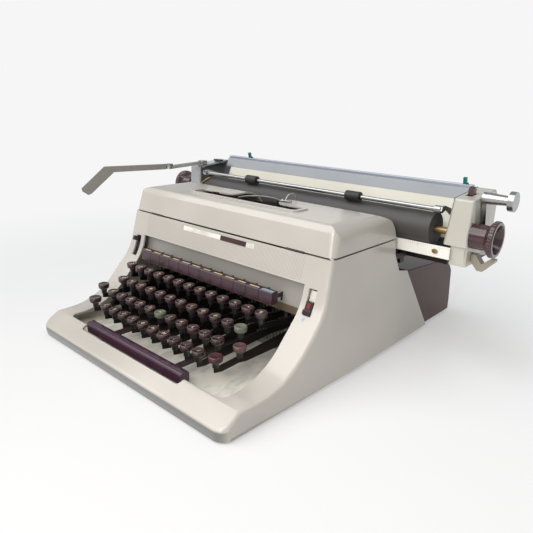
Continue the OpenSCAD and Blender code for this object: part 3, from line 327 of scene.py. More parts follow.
ALONG_X, ALONG_Y = (0.2, 1.0, 1.0), (1.0, 0.08, 1.0)
LONG_X = (0.05, 1.0, 1.0)
steel = metal("brushed_steel", srgb(168, 169, 170), 0.34, LONG_X, spots=0.25)
chrome = metal("bright_chrome", srgb(166, 167, 166), 0.2, ALONG_X, grain=0.06, spots=0.08)
brass = metal("aged_brass", srgb(164, 138, 98), 0.34, ALONG_X, spots=0.4)
black_steel = metal("black_steel", srgb(48, 43, 38), 0.40, ALONG_Y, spots=0.3, metallic=0.75)
tan_steel = metal("tan_steel", srgb(128, 112, 92), 0.45, (0.1, 1.0, 1.0), spots=0.3, metallic=0.35)
grey_metal = metal("grey_metal", srgb(138, 135, 128), 0.38, ALONG_X, spots=0.15, metallic=0.55)
band_metal = metal("band_metal", srgb(178, 186, 196), 0.30, LONG_X, spots=0.15, metallic=0.7)
print("metals ready")

# %% [markdown]
# Rubber is matt and a little dusty, and the ribbon is an inked weave: two crossed waves of
# 0.6 mm give its threads.

# %% Rubber and ribbon
THREAD = 0.0006


def rubber(name, tone):
    f = Finish(name)
    at = f.place()[0]
    fine = f.noise(at, 1200.0, 4.0, 0.65)
    dust = f.noise(f.stretch(at, 0.4, 1.0, 1.0), 90.0, 4.0, 0.6).ramp(0.45, 0.75)
    base = f.mix(fine, shaded(tone, 0.8), shaded(tone, 1.25))
    base = f.mix(dust * 0.18, base, srgb(120, 112, 104))
    f.set(Base_Color=base, Roughness=fine * 0.15 + dust * 0.1 + 0.42)
    f.set(Normal=f.bump(fine, 0.25, 0.0001))
    return f.mat


def ribbon_cloth():
    f = Finish("ribbon_cloth")
    at, x, y, z = f.place()
    warp = (x * (2 * pi / THREAD)).sine() * (z * (2 * pi / THREAD)).sine()
    base = f.mix(warp * 0.5 + 0.5, srgb(16, 16, 18), srgb(38, 37, 40))
    f.set(Base_Color=base, Roughness=f.noise(at, 500.0) * 0.2 + 0.65)
    f.set(Normal=f.bump(warp, 0.4, 0.0001))
    return f.mat


rubber_black = rubber("foot_rubber", srgb(34, 33, 34))
rubber_platen = rubber("platen_rubber", srgb(62, 59, 58))
cloth = ribbon_cloth()
print("rubber and ribbon ready")

# %% [markdown]
# The pan under the keys is painted a pale cream that has gathered dust between the levers;
# soft blue-grey patches on it are painted reflections.
# The line scale is white enamel with a tick every tenth of an inch and a longer one every
# inch; they are too thin to model, so they are drawn by the fraction of x.

# %% Pan, scale and paper table
INCH = 0.0254


def pan_paint():
    f = Finish("pan_paint")
    at = f.place()[0]
    dust = f.noise(at, 260.0, 5.0, 0.7)
    base = f.mix(f.noise(at, 14.0, 4.0), srgb(246, 239, 222), srgb(252, 248, 236))
    base = f.mix(dust.ramp(0.55, 0.8) * 0.25, base, srgb(170, 160, 146))
    # Painted reflections: soft blue-grey patches are mixed into the cream.
    soft = f.noise(f.stretch(at, 1.0, 0.5, 1.0), 70.0, 2.0).ramp(0.45, 0.65)
    base = f.mix(soft * 0.35, base, srgb(150, 162, 172))
    f.set(Base_Color=base, Roughness=dust * 0.1 + 0.16, Normal=f.bump(dust, 0.1, 0.0001))
    return f.mat


def scale_paint():
    """White enamel with a row of short ticks along its upper edge."""
    f = Finish("scale_paint")
    at, x, y, z = f.place()
    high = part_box("line_scale")[1].z

    def ticks(step, half, length):
        share = ((x + MID) * (1 / step)).part()
        thin = (share - 0.5).size().below(half)
        return thin * z.above(high - length) * z.below(high - 0.0008)

    marks = ticks(INCH / 10, 0.07, 0.0032).most(ticks(INCH, 0.008, 0.0052))
    stain = f.noise(at, 60.0, 4.0)
    base = f.mix(stain, srgb(232, 228, 216), srgb(248, 246, 240))
    base = f.mix(marks * 0.35, base, srgb(90, 84, 78))
    f.set(Base_Color=base, Roughness=stain * 0.12 + 0.30, Normal=f.bump(stain, 0.05, 0.0001))
    return f.mat


paint_pan = pan_paint()
paint_scale = scale_paint()
paint_table = casing_paint("table_paint", srgb(216, 212, 196), shine=0.42)
print("pan, scale and paper table ready")

# %% [markdown]
# Every solid of the frame that keeps its own shape gets the finish of the real piece,
# but the wall behind the keys and the left end cover are drawn in darker greys, as
# painted shade. The carriage frame has two: its inside is blackened steel, and its
# plates above the platen's middle are painted like the carriage.

# %% Finishes of the solids
PLATE_Z = 0.150
FINISH = {name: finish for finish, names in (
    (paint_casing, "body_shell top_cover"),
    (paint_carriage, "end_cover_right"),
    (paint_left_shade, "end_cover_left"),
    (paint_band, "carriage_cover"),
    (paint_wall_shade, "key_back_plate"),
    (paint_seam, "cover_hinge_pins"),
    (paint_lock, "carriage_lock_lever"),
    (paint_pan, "base_pan"),
    (paint_table, "paper_table"),
    (paint_scale, "line_scale"),
    (plastic_hood, "rear_housing"),
    (plastic_key, "key_caps_1 key_caps_2 key_caps_3 key_caps_4"),
    (plastic_key, "shift_keys shift_lock_key colour_selector"),
    (plastic_pink, "backspace_key"),
    (plastic_green, "margin_key"),
    (plastic_tab, "tab_keys"),
    (plastic_bar, "space_bar"),
    (plastic_knob, "platen_knobs paper_release_lever"),
    (plastic_black, "line_space_selector touch_lever"),
    (plastic_teal, "margin_stop_left margin_stop_right"),
    (rubber_black, "feet feed_rollers bail_rollers"),
    (rubber_platen, "platen"),
    (cloth, "ribbon"),
    (brass, "platen_shaft"),
    (chrome, "ribbon_vibrator bell bail_frame return_lever carriage_release_lever"),
    (grey_metal, "return_handle"),
    (band_metal, "margin_rail"),
    (tan_steel, "key_cross_bar"),
    (black_steel, "key_levers_1 key_levers_2 key_levers_3 key_levers_4"),
    (black_steel, "ribbon_spool_left ribbon_spool_right carriage_frame"),
    (steel, "side_frames key_comb pivot_shafts carriage_rail spool_brackets"),
    (steel, "type_segment typebars centre_typebar mainspring_drum"),
) for name in names.split()}
for name, obj in nodes.items():
    obj.data.materials.clear()
    obj.data.materials.append(FINISH[name])
ends = nodes["carriage_frame"].data
ends.materials.append(paint_plate)
for face in ends.polygons:
    if max(ends.vertices[k].co.z for k in face.vertices) > PLATE_Z:
        face.material_index = 1
print("finished solids:", len(FINISH))

# %% [markdown]
# The solids have the right places and sizes, but pressed sheet metal and moulded plastic
# have no knife edges. A piece that needs softer edges is copied from its solid, its loose
# triangles are merged, flat faces are cleaned up, and chosen edges are bevelled in edit
# mode. A few small helpers do the hand work: select one object, pick edges by a test on
# their place and faces, bevel what is picked, and shade the result smooth.

# %% Picking and bevelling
def only(obj):
    if bpy.context.mode != "OBJECT":
        bpy.ops.object.mode_set(mode="OBJECT")
    bpy.ops.object.select_all(action="DESELECT")
    obj.select_set(True)
    bpy.context.view_layer.objects.active = obj


def edit(obj, kind="EDGE"):
    only(obj)
    bpy.ops.object.mode_set(mode="EDIT")
    bpy.ops.mesh.select_mode(type=kind)
    bpy.ops.mesh.select_all(action="DESELECT")
    return bmesh.from_edit_mesh(obj.data)


def done():
    bpy.ops.object.mode_set(mode="OBJECT")


def copy_of(node, name):
    obj = bpy.data.objects.new(name, nodes[node].data.copy())
    scene.collection.objects.link(obj)
    edit(obj)
    bpy.ops.mesh.select_all(action="SELECT")
    bpy.ops.mesh.remove_doubles(threshold=2e-5)
    bpy.ops.mesh.dissolve_limited(angle_limit=radians(0.6))
    done()
    return obj


def sharp(e, angle):
    return e.is_convex and e.calc_face_angle(0.0) > radians(angle)


def pick_edges(obj, test):
    bm = edit(obj)
    count = 0
    for e in bm.edges:
        if len(e.link_faces) == 2 and test(e, (e.verts[0].co + e.verts[1].co) / 2):
            e.select_set(True)
            count += 1
    bmesh.update_edit_mesh(obj.data)
    return count


def bevel_picked(width, segments):
    bpy.ops.mesh.bevel(offset=width / 1000, segments=segments, affect="EDGES",
                       clamp_overlap=True, loop_slide=True)
    done()


print("picking and bevelling ready")

# %% [markdown]
# A finished copy is shaded smooth, with normals that keep its flat faces flat. Then it
# takes the place of its solid: it rides on the same body.

# %% Shading and taking the solid's place
def shade_by_angle(obj, angle):
    only(obj)
    bpy.ops.object.shade_smooth_by_angle(angle=radians(angle))


def smooth(obj, angle=32):
    shade_by_angle(obj, angle)
    mod = obj.modifiers.new("even", "WEIGHTED_NORMAL")
    mod.keep_sharp = True
    bpy.ops.object.modifier_apply(modifier=mod.name)
    return obj


def rides(obj, body, finish):
    obj.data.materials.clear()
    obj.data.materials.append(finish)
    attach(obj, body)
    return obj


def body_of(node):
    bodies = frame["record"]["behaviour"]["bodies"]
    return next(body for body, names in bodies.items() if node in names)


def stands_for(obj, node, finish):
    slot = next(s["material_slot"] for s in frame["record"]["subparts"] if s["node"] == node)
    rides(obj, body_of(node), finish)
    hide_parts(node)
    return obj


print("the casing rides on", body_of("body_shell"))

# %% [markdown]
# The casing is one deep pressing. Its borders roll over into the side walls and into the
# front lip with a radius of about 4 mm, which catches a long highlight on the right side;
# the cut edges of the keyboard opening are turned over only a little. The front lip is
# drawn down and turned under a little by moving its vertices.

# %% Casing
LIP_BACK, LIP_DOWN, LIP_TOP, LIP_FOOT = 0.0022, 0.0035, 0.013, 0.005
BORDER_LOW, BORDER_HIGH, BORDER_BACK, BORDER_X = 0.006, 0.1372, 0.046, 0.1605
OPENING_X, OPENING_TOP = 0.1395, 0.115
casing = copy_of("body_shell", "casing")


def border_edge(e, m):
    if not sharp(e, 35) or not BORDER_LOW < m.z < BORDER_HIGH or m.y > BORDER_BACK:
        return False
    return abs(m.x + MID) > BORDER_X or m.y < behind_lip(8)


def opening_edge(e, m):
    return (sharp(e, 35) and abs(m.x + MID) < OPENING_X and m.y > behind_lip(20)
            and m.z < OPENING_TOP and max(f.normal.z for f in e.link_faces) > 0.15)


n = pick_edges(casing, border_edge)
bevel_picked(4.2, 5)
k = pick_edges(casing, opening_edge)
bevel_picked(1.0, 2)
for v in casing.data.vertices:
    if v.co.y < behind_lip(12) and v.co.z < LIP_TOP:
        share = (LIP_TOP - v.co.z) / (LIP_TOP - LIP_FOOT)
        v.co.y += LIP_BACK * share
        v.co.z -= LIP_DOWN * share
stands_for(smooth(casing), "body_shell", paint_casing)
print("casing: border edges", n, "opening edges", k, "faces", len(casing.data.polygons))

# %% [markdown]
# The pan's front flange lies behind the casing's lip, so it moves back as far as the lip
# was turned under. The cover's hinge sits in the seam between casing and cover, where
# no light falls, so the faces close to its pins are blackened on both.

# %% Pan and hinge
HINGE_R = 0.0021
pan = copy_of("base_pan", "pan")
bm = edit(pan, "VERT")
for v in bm.verts:
    if v.co.y < behind_lip(5):
        v.select_set(True)
bmesh.update_edit_mesh(pan.data)
bpy.ops.transform.translate(value=(0, LIP_BACK, 0))
done()
stands_for(smooth(pan), "base_pan", paint_pan)
pin_low, pin_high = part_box("cover_hinge_pins")
pin = (pin_low + pin_high) / 2


def blacken_hinge(obj):
    obj.data.materials.append(paint_seam)
    near = [face for face in obj.data.polygons
            if hypot(face.center.y - pin.y, face.center.z - pin.z) < HINGE_R]
    for face in near:
        face.material_index = 1
    return len(near)


print("hinge faces in the casing", blacken_hinge(casing))

# %% [markdown]
# The top cover is a second pressing with rounder shoulders. Its rolled ends are opened
# from 9 mm to 18 mm, and the wider roll fades out before the rear shoulder. Its other
# corners are bevelled, and the window's raised lip gets a fine rounding.

# %% Top cover
COVER_HALF, COVER_LOW, COVER_TOP, EDGE_R, ROLL_R = 0.1665, 0.1405, 0.170, 0.009, 0.018
FADE_BACK, FADE_LENGTH = 0.034, 0.023
WING_X, FRONT_Y, WINDOW_X, WINDOW_Y = 0.125, -0.055, 0.112, -0.05
cover = copy_of("top_cover", "cover")
for v in cover.data.vertices:
    out, rise = abs(v.co.x + MID) - (COVER_HALF - EDGE_R), v.co.z - (COVER_TOP - EDGE_R)
    if out > -1e-5 and rise > -1e-5:
        grow = (ROLL_R - EDGE_R) * max(0.0, min(1.0, (FADE_BACK - v.co.y) / FADE_LENGTH))
        turned, reach = atan2(max(rise, 0.0), max(out, 0.0)), grow + hypot(out, rise)
        side = 1 if v.co.x + MID > 0 else -1
        v.co.x = side * (COVER_HALF - EDGE_R - grow + reach * cos(turned)) - MID
        v.co.z = COVER_TOP - EDGE_R - grow + reach * sin(turned)


def corner_edge(e, m):
    return (sharp(e, 25) and m.z > COVER_LOW
            and (abs(m.x + MID) > WING_X or m.y < FRONT_Y))


def window_edge(e, m):
    return (sharp(e, 40) and m.z > COVER_LOW
            and abs(m.x + MID) < WINDOW_X and m.y > WINDOW_Y)


n = pick_edges(cover, corner_edge)
bevel_picked(9.5, 6)
k = pick_edges(cover, window_edge)
bevel_picked(0.5, 2)
stands_for(smooth(cover), "top_cover", paint_casing)
print("hinge faces in the cover", blacken_hinge(cover))
print("cover: corner edges", n, "lip edges", k, "faces", len(cover.data.polygons))

# %% [markdown]
# The hood at the back and the two end covers of the carriage are softened in the same
# way. The open side of each stays sharp, because it is a cut edge, and so do the hood's
# vents. On the end covers only long edges between two large faces are rounded.

# %% Hood and end covers
HOOD_LOW, HOOD_FRONT, HOOD_X, HOOD_BACK = 0.0065, 0.09, 0.165, 0.195
VENT_LOW, VENT_HIGH, VENT_X = 0.028, 0.036, 0.15
LONG_EDGE, LARGE_FACE = 0.006, 1.2e-4


def hood_edge(e, m):
    x = abs(m.x + MID)
    outer = m.z > HOOD_LOW and m.y > HOOD_FRONT and (x > HOOD_X or m.y > HOOD_BACK)
    vent = VENT_LOW < m.z < VENT_HIGH and x < VENT_X
    return (sharp(e, 18) and outer and not vent
            and max(f.normal.y for f in e.link_faces) > -0.35)


def outer_edge(e, m):
    return (sharp(e, 25) and e.calc_length() > LONG_EDGE
            and min(f.calc_area() for f in e.link_faces) > LARGE_FACE)


hood = copy_of("rear_housing", "hood")
n = pick_edges(hood, hood_edge)
bevel_picked(6.0, 4)
stands_for(smooth(hood), "rear_housing", plastic_hood)
print("hood edges", n)
for node in ("end_cover_left", "end_cover_right"):
    obj = copy_of(node, node.replace("end_cover", "carriage_end"))
    n = pick_edges(obj, outer_edge)
    bpy.ops.mesh.bevel(offset=0.0026, segments=4, affect="EDGES", clamp_overlap=False)
    done()
    stands_for(smooth(obj), node, FINISH[node])
    print(node, "edges", n)

# %% [markdown]
# Levers, bars and small caps need the same care on a smaller scale: a machined or moulded
# edge is broken by a few tenths of a millimetre, and that thin bright line is what makes
# the piece look made. A Bevel modifier with an angle limit does it for all of them.

# %% Broken edges on small pieces
def break_edges(node, width, segments):
    obj = copy_of(node, node + "_piece")
    only(obj)
    mod = obj.modifiers.new("edge", "BEVEL")
    mod.width = width / 1000
    mod.segments = segments
    mod.limit_method = "ANGLE"
    mod.angle_limit = radians(30)
    mod.use_clamp_overlap = True
    bpy.ops.object.modifier_apply(modifier=mod.name)
    return stands_for(smooth(obj, 40), node, FINISH[node])


for node, width, segments in (
        ("space_bar", 1.2, 3), ("tab_keys", 0.5, 2), ("return_handle", 1.6, 3),
        ("return_lever", 0.6, 2), ("carriage_release_lever", 1.0, 3),
        ("carriage_lock_lever", 0.7, 2), ("margin_stop_left", 0.5, 2),
        ("margin_stop_right", 0.5, 2), ("paper_release_lever", 0.8, 2),
        ("line_space_selector", 0.6, 2), ("bail_frame", 0.3, 2), ("bail_rollers", 0.6, 2),
        ("platen_knobs", 0.4, 2), ("platen", 0.8, 2), ("carriage_cover", 0.7, 2),
        ("paper_table", 0.3, 1), ("margin_rail", 0.3, 1), ("line_scale", 0.3, 1),
        ("touch_lever", 0.6, 2), ("colour_selector", 0.4, 2), ("key_cross_bar", 0.5, 1)):
    obj = break_edges(node, width, segments)
    print(obj.name, "faces", len(obj.data.polygons))

# %% [markdown]
# A key cap is a turned shape: a narrow black neck, an almost straight side, a soft shoulder
# and a dish for the fingertip. On a bench it would be turned on a lathe; here a disc is
# extruded upwards ring by ring, and each ring is scaled to the next radius. Heights are
# measured down from the cap's rim.

# %% Turning on the lathe
NECK, NECK_BELOW, RIM, DISH_DROP = 2.6, 4.2, 1.35, 0.06


def turn(name, rings):
    """rings are (radius, height) in mm from the foot to the middle of the top."""
    bpy.ops.object.select_all(action="DESELECT")
    radius, height = rings[0]
    bpy.ops.mesh.primitive_circle_add(vertices=32, radius=radius / 1000, fill_type="NGON",
                                      location=(0, 0, height / 1000))
    obj = bpy.context.active_object
    obj.name = name
    bpy.ops.object.transform_apply(location=True, rotation=True, scale=True)
    bpy.ops.object.mode_set(mode="EDIT")
    bpy.ops.mesh.select_mode(type="FACE")
    bpy.ops.mesh.select_all(action="SELECT")
    for (ra, za), (rb, zb) in zip(rings, rings[1:]):
        bpy.ops.mesh.extrude_region_move(
            TRANSFORM_OT_translate={"value": (0, 0, (zb - za) / 1000)})
        bpy.ops.transform.resize(value=(rb / ra, rb / ra, 1))
    bpy.ops.mesh.select_all(action="SELECT")
    bpy.ops.mesh.normals_make_consistent(inside=False)
    done()
    shade_by_angle(obj, 50)
    return obj


def dish(r, radius, depth):
    """Depth of the dish at r from its middle, measured down from the rim."""
    curve = (radius * radius + depth * depth) / (2 * depth)
    return depth - (curve - sqrt(max(0.0, curve * curve - r * r)))


def cap_rings(r, h, depth):
    neck = [(3.3, -h - NECK_BELOW), (3.6, -h), (4.1, -h + NECK - 0.2), (r - 1.5, -h + NECK)]
    side = [(r - 0.75, -h + NECK + 0.3), (r - 0.4, -h + NECK + 1.0), (r - 0.1, -h * 0.45)]
    shoulder = [(r, -2.0), (r, -1.1), (r - 0.18, -0.5), (r - 0.55, -0.12), (r - 0.95, 0.0)]
    top = [(k, -dish(k, r - RIM, depth) - DISH_DROP) for k in (r * 0.7, r * 0.5, r * 0.3, 0.6)]
    return neck + side + shoulder + [(r - RIM, -DISH_DROP)] + top


print("lathe ready, rings of a cap:", len(cap_rings(6.9, 9.0, 1.0)))

# %% [markdown]
# One cap is turned and copied to every place of its row, each copy with its own mesh, and
# the copies of a row are joined into one piece.

# %% Copies and groups
def copy_to(obj, place, name):
    new = bpy.data.objects.new(name, obj.data.copy())
    new.data.transform(Matrix.Translation(place))
    scene.collection.objects.link(new)
    return new


def group(name, objs):
    bpy.ops.object.select_all(action="DESELECT")
    for o in objs:
        o.select_set(True)
    bpy.context.view_layer.objects.active = objs[0]
    bpy.ops.object.join()
    objs[0].name = name
    return objs[0]


print("copies and groups ready")

# %% [markdown]
# The four rows step up towards the back, and their keys are 19.05 mm apart. The middle of
# each cap is where the solid's cap is, and the legends are plain letters and figures in
# a warm cream, laid into the dish so that they follow its hollow. They are drawn large
# and bright, so that the cream also serves as a painted highlight on the caps' tops.

# %% Places and legends of the keys
PITCH = 19.05
ROW = [(1.25, 10), (0.75, 11), (0.5, 11), (0.0, 13)]
LEGEND = ["ZXCVBNM,./", "ASDFGHJKL;'", "QWERTYUIOP-", "234567890+=*%"]
FIRST_X, FIRST_Y, FIRST_Z = -116.8, 50, 46
ROW_STEP, ROW_RISE = 17.2, 11.1
DEPTH = 1.0
CAP_R, CAP_H = 6.9, 9.0
# The legends are print, drawn large and bright so that they also serve as painted highlights.
LEGEND_SIZE = 6.0
legend_ink_and_highlight = casing_paint("legend_ink_and_highlight", srgb(240, 220, 168), shine=0.3)


def row_place(i, k):
    bend = i * (i - 1)
    return (FIRST_X + (ROW[i][0] + k) * PITCH, YF + FIRST_Y + ROW_STEP * i + 0.65 * bend,
            FIRST_Z + ROW_RISE * i + 0.35 * bend)


def legend(letter, place):
    bpy.ops.object.select_all(action="DESELECT")
    bpy.ops.object.text_add(location=(0, 0, 0))
    text = bpy.context.active_object.data
    text.body = letter
    text.size = LEGEND_SIZE / 1000
    text.align_x = "CENTER"
    text.align_y = "CENTER"
    text.extrude = 0.00006
    text.resolution_u = 3
    bpy.ops.object.convert(target="MESH")
    obj = bpy.context.active_object
    for v in obj.data.vertices:
        drop = dish(hypot(v.co.x, v.co.y) * 1000, CAP_R - RIM, DEPTH)
        v.co.z += -drop / 1000 + 0.00004
    obj.data.transform(Matrix.Translation(place))
    return obj


print("first key of each row", [[round(v, 1) for v in row_place(i, 0)] for i in range(4)])

# %% [markdown]
# A cap has two finishes: its neck is black and the rest has the keys' dark red brown. One
# key in the middle of the second row is green.

# %% Key rows
cap = turn("cap_pattern", cap_rings(CAP_R, CAP_H, DEPTH))
NECK_TOP = -(CAP_H - NECK + 0.05)
GREEN_ROW, GREEN_KEY = 1, 5
for i, (_, count) in enumerate(ROW):
    row_name = "row_%d" % (i + 1)
    places = [mm(*row_place(i, k)) for k in range(count)]
    caps, marks = [], []
    for at, letter in zip(places, LEGEND[i]):
        caps.append(copy_to(cap, at, "cap"))
        marks.append(legend(letter, at))
    row = group(row_name + "_caps", caps)
    stands_for(row, "key_caps_%d" % (i + 1), plastic_key)
    row.data.materials.append(plastic_black)
    for p in row.data.polygons:
        if p.center.z < (row_place(i, 0)[2] + NECK_TOP) / 1000:
            p.material_index = 1
    if i == GREEN_ROW:
        row.data.materials.append(plastic_green)
        for p in row.data.polygons:
            if (p.center - places[GREEN_KEY]).xy.length < 0.009 and p.material_index == 0:
                p.material_index = 2
    rides(group(row_name + "_legends", marks), row_name, legend_ink_and_highlight)
    print("row", i + 1, "caps", count, "faces", len(row.data.polygons))
bpy.data.objects.remove(cap, do_unlink=True)

# %% [markdown]
# The keys at the ends of the rows are larger or of another colour: two shift keys, the
# shift lock, the pink backspace and the pale green margin key. Each sits on its own
# blackened lever, so the solid's cap is cut off, a turned cap is set on, and cap, neck
# and lever have three finishes on one piece.

# %% End keys
SHIFT_R = 7.6
LEVER_TOP = 9.1


def end_key(row, x, behind, radius, finish):
    """A key at x, and so many mm behind its row."""
    y, z = row_place(row, 0)[1:]
    return (x, y + behind, z), radius, finish


END_KEYS = {
    "shift_keys": [end_key(0, -124.6, 4, SHIFT_R, plastic_key),
                   end_key(0, row_place(0, 9)[0] + 20.9, 4, SHIFT_R, plastic_rose)],
    "shift_lock_key": [end_key(1, -133.7, 5, CAP_R, plastic_key)],
    "backspace_key": [end_key(1, row_place(1, 10)[0] + 27.6, 4, CAP_R, plastic_pink)],
    "margin_key": [end_key(2, row_place(2, 11)[0], 0, CAP_R, plastic_green)],
}
for node, keys in END_KEYS.items():
    lever = copy_of(node, node + "_lever")
    bm = edit(lever, "FACE")
    cut = (keys[0][0][2] - LEVER_TOP) / 1000
    for face in bm.faces:
        if min(v.co.z for v in face.verts) > cut:
            face.select_set(True)
    bpy.ops.mesh.delete(type="FACE")
    done()
    lever.data.materials.clear()
    lever.data.materials.append(black_steel)
    parts = [lever]
    for at, radius, finish in keys:
        top = turn("end_cap", cap_rings(radius, CAP_H, DEPTH))
        top.data.materials.append(finish)
        top.data.materials.append(plastic_black)
        for face in top.data.polygons:
            face.material_index = int(face.center.z < NECK_TOP / 1000)
        top.data.transform(Matrix.Translation(mm(*at)))
        parts.append(top)
    whole = group(node + "_piece", parts)
    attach(whole, body_of(node))
    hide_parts(node)
    print(node, "faces", len(whole.data.polygons))

# %% [markdown]
# The small fittings come last. A flat one starts as a cube that is scaled to size, bevelled
# and laid on its face, and a screw starts as a cylinder. A face is given by its middle
# and by two directions along it.

# %% Slabs and discs
def face_at(origin, along=(1, 0, 0), upward=(0, 0, 1)):
    a = Vector(along).normalized()
    b = Vector(upward).normalized()
    return axes(a, b, a.cross(b), origin)


def level(x, y, z):
    """A face that looks up."""
    return face_at(mm(x, y, z), (1, 0, 0), (0, 1, 0))


def round_edges(obj, width):
    mod = obj.modifiers.new("edge", "BEVEL")
    mod.width = width / 1000
    mod.segments = 2
    bpy.ops.object.modifier_apply(modifier=mod.name)


def slab(name, size, face, bevel=0.0, lift=0.0):
    """A block of the given size in mm, its underside on the face or lifted off it."""
    bpy.ops.object.select_all(action="DESELECT")
    bpy.ops.mesh.primitive_cube_add(size=1)
    obj = bpy.context.active_object
    obj.name = name
    obj.scale = [v / 1000 for v in size]
    obj.location = (0, 0, (size[2] / 2 + lift) / 1000)
    bpy.ops.object.transform_apply(location=True, rotation=True, scale=True)
    if bevel:
        round_edges(obj, bevel)
    obj.data.transform(face)
    return obj


def disc(name, radius, thick, face, oval=1.0):
    bpy.ops.object.select_all(action="DESELECT")
    bpy.ops.mesh.primitive_cylinder_add(vertices=28, radius=radius / 1000, depth=thick / 1000)
    obj = bpy.context.active_object
    obj.name = name
    obj.scale = (oval, 1, 1)
    obj.location = (0, 0, thick / 2000)
    bpy.ops.object.transform_apply(location=True, rotation=True, scale=True)
    round_edges(obj, thick * 0.3)
    obj.data.transform(face)
    shade_by_angle(obj, 40)
    return obj


print("slabs and discs ready")

# %% [markdown]
# Bent wires are drawn as a curve through a few points. The curve gets a round section and
# closed ends, and then it is turned into a mesh.

# %% Wires
def wire(name, points, radius):
    bpy.ops.object.select_all(action="DESELECT")
    bpy.ops.curve.primitive_bezier_curve_add()
    obj = bpy.context.active_object
    obj.name = name
    curve = obj.data
    line = curve.splines[0]
    line.bezier_points.add(len(points) - 2)
    for p, place in zip(line.bezier_points, points):
        p.co = mm(*place)
        p.handle_left_type = p.handle_right_type = "AUTO"
    curve.bevel_depth = radius / 1000
    curve.bevel_resolution = 3
    curve.resolution_u = 8
    curve.use_fill_caps = True
    bpy.ops.object.convert(target="MESH")
    obj = bpy.context.active_object
    shade_by_angle(obj, 50)
    return obj


print("wires ready")

# %% [markdown]
# The casing's side line is an arc of 85 mm, a short straight and an arc of 60 mm, then the
# panel, which leans back by 14 degrees. Two small functions give a face on the panel and
# a face on the upper arc, so that what lies on the casing can follow its slope.

# %% Casing line
T1, T2 = radians(46), radians(76)
ARC_1, STRAIGHT, ARC_2 = 85, 30, 60
SLOT_Z = 93
end_1 = (YF + 42 + ARC_1 * sin(T1), 110.5 - ARC_1 * cos(T1))
start_2 = (end_1[0] + STRAIGHT * cos(T1), end_1[1] + STRAIGHT * sin(T1))
MID_2 = (start_2[0] - ARC_2 * sin(T1), start_2[1] + ARC_2 * cos(T1))
end_2 = (MID_2[0] + ARC_2 * sin(T2), MID_2[1] - ARC_2 * cos(T2))
drop = MID_2[1] - SLOT_Z
SLOT_T = radians(90) - atan2(drop, sqrt(ARC_2 ** 2 - drop ** 2))


def on_panel(x, z):
    at = mm(x, end_2[0] + (z - end_2[1]) / tan(T2), z)
    return face_at(at, (1, 0, 0), (0, cos(T2), sin(T2)))


def on_border(x, along):
    """Face on the border's upper arc, along mm up the slope from the slot's middle."""
    t = SLOT_T + along / ARC_2
    at = mm(x, MID_2[0] + ARC_2 * sin(t), MID_2[1] - ARC_2 * cos(t))
    return face_at(at, (1, 0, 0), (0, cos(t), sin(t)))


print("panel at seam", [round(v * 1000, 1) for v in on_panel(0, 138.5).translation],
      "slot tilt", round(degrees(SLOT_T), 1))

# %% [markdown]
# The name plate lies on the panel: a plain white strip with one plain maroon block and no
# name on it. A dark strip stands behind the seam as painted shade: no light falls through
# it, and its black face draws the seam's shadow.

# %% Name plate and seam shade
SEAM_SHADE_LENGTH = 316
plate = slab("name_plate", (122, 5.6, 0.5), on_panel(0.5, 131.4), 0.15, -0.1)
rides(plate, "frame", plastic_white)
block = slab("name_block", (42, 5.7, 0.25), on_panel(28, 131.5), 0.08, 0.38)
rides(block, "frame", plastic_knob)
# Painted shade: a black strip and flap fill the seam behind the panel.
foot = slab("seam_shade_strip", (SEAM_SHADE_LENGTH, 3.0, 2.4), on_panel(0, 135.0), 0.0, -4.7)
flap = slab("seam_shade_flap", (SEAM_SHADE_LENGTH, 8.4, 0.7), on_panel(0, 137.6), 0.0, -5.3)
rides(group("seam_shade_strip", [foot, flap]), "frame", rubber_black)
print("name plate, block and felt laid")

# %% [markdown]
# The ribbon's colour selector shows three red bars on its dark slide and a white pad at
# the top of its slot; a small pale triangle is printed below it. The pad lies on the
# slide's plate under the border and moves with it.

# %% Marks of the colour selector
SLOT_X = 150
slot_face = on_border(SLOT_X, 0)
for k in range(3):
    at = slot_face @ Matrix.Translation((0, (-5.6 + 1.9 * k) / 1000, 0))
    bar = slab("red_mark_%d" % k, (3.6, 1.0, 0.2), at, 0.0, 1.45)
    rides(bar, "ribbon_colour", plastic_red)
at = slot_face @ Matrix.Translation((0, 0.0068, 0))
pad = slab("white_pad", (8.4, 11.5, 0.7), at, 0.0, -3.5)
rides(pad, "ribbon_colour", plastic_white)
bpy.ops.object.select_all(action="DESELECT")
bpy.ops.mesh.primitive_circle_add(vertices=3, radius=0.0030, fill_type="NGON")
mark = bpy.context.active_object
mark.name = "triangle_mark"
bpy.ops.object.mode_set(mode="EDIT")
bpy.ops.mesh.select_all(action="SELECT")
bpy.ops.mesh.extrude_region_move(TRANSFORM_OT_translate={"value": (0, 0, 0.0003)})
bpy.ops.mesh.select_all(action="SELECT")
bpy.ops.mesh.normals_make_consistent(inside=False)
done()
point_down = Matrix.Rotation(pi, 4, "Z") @ Matrix.Translation((0, 0, -0.0001))
mark.data.transform(on_border(SLOT_X - 1, -18.5) @ point_down)
paint_blue = casing_paint("mark_blue", srgb(150, 168, 182))
rides(mark, "frame", paint_blue)
print("selector marks, slot at", [round(v * 1000, 1) for v in slot_face.translation])

# %% [markdown]
# Each tabulator key carries a small golden label on its top, partly print and partly a
# painted highlight; the last one at the right is a plain blue-grey button.

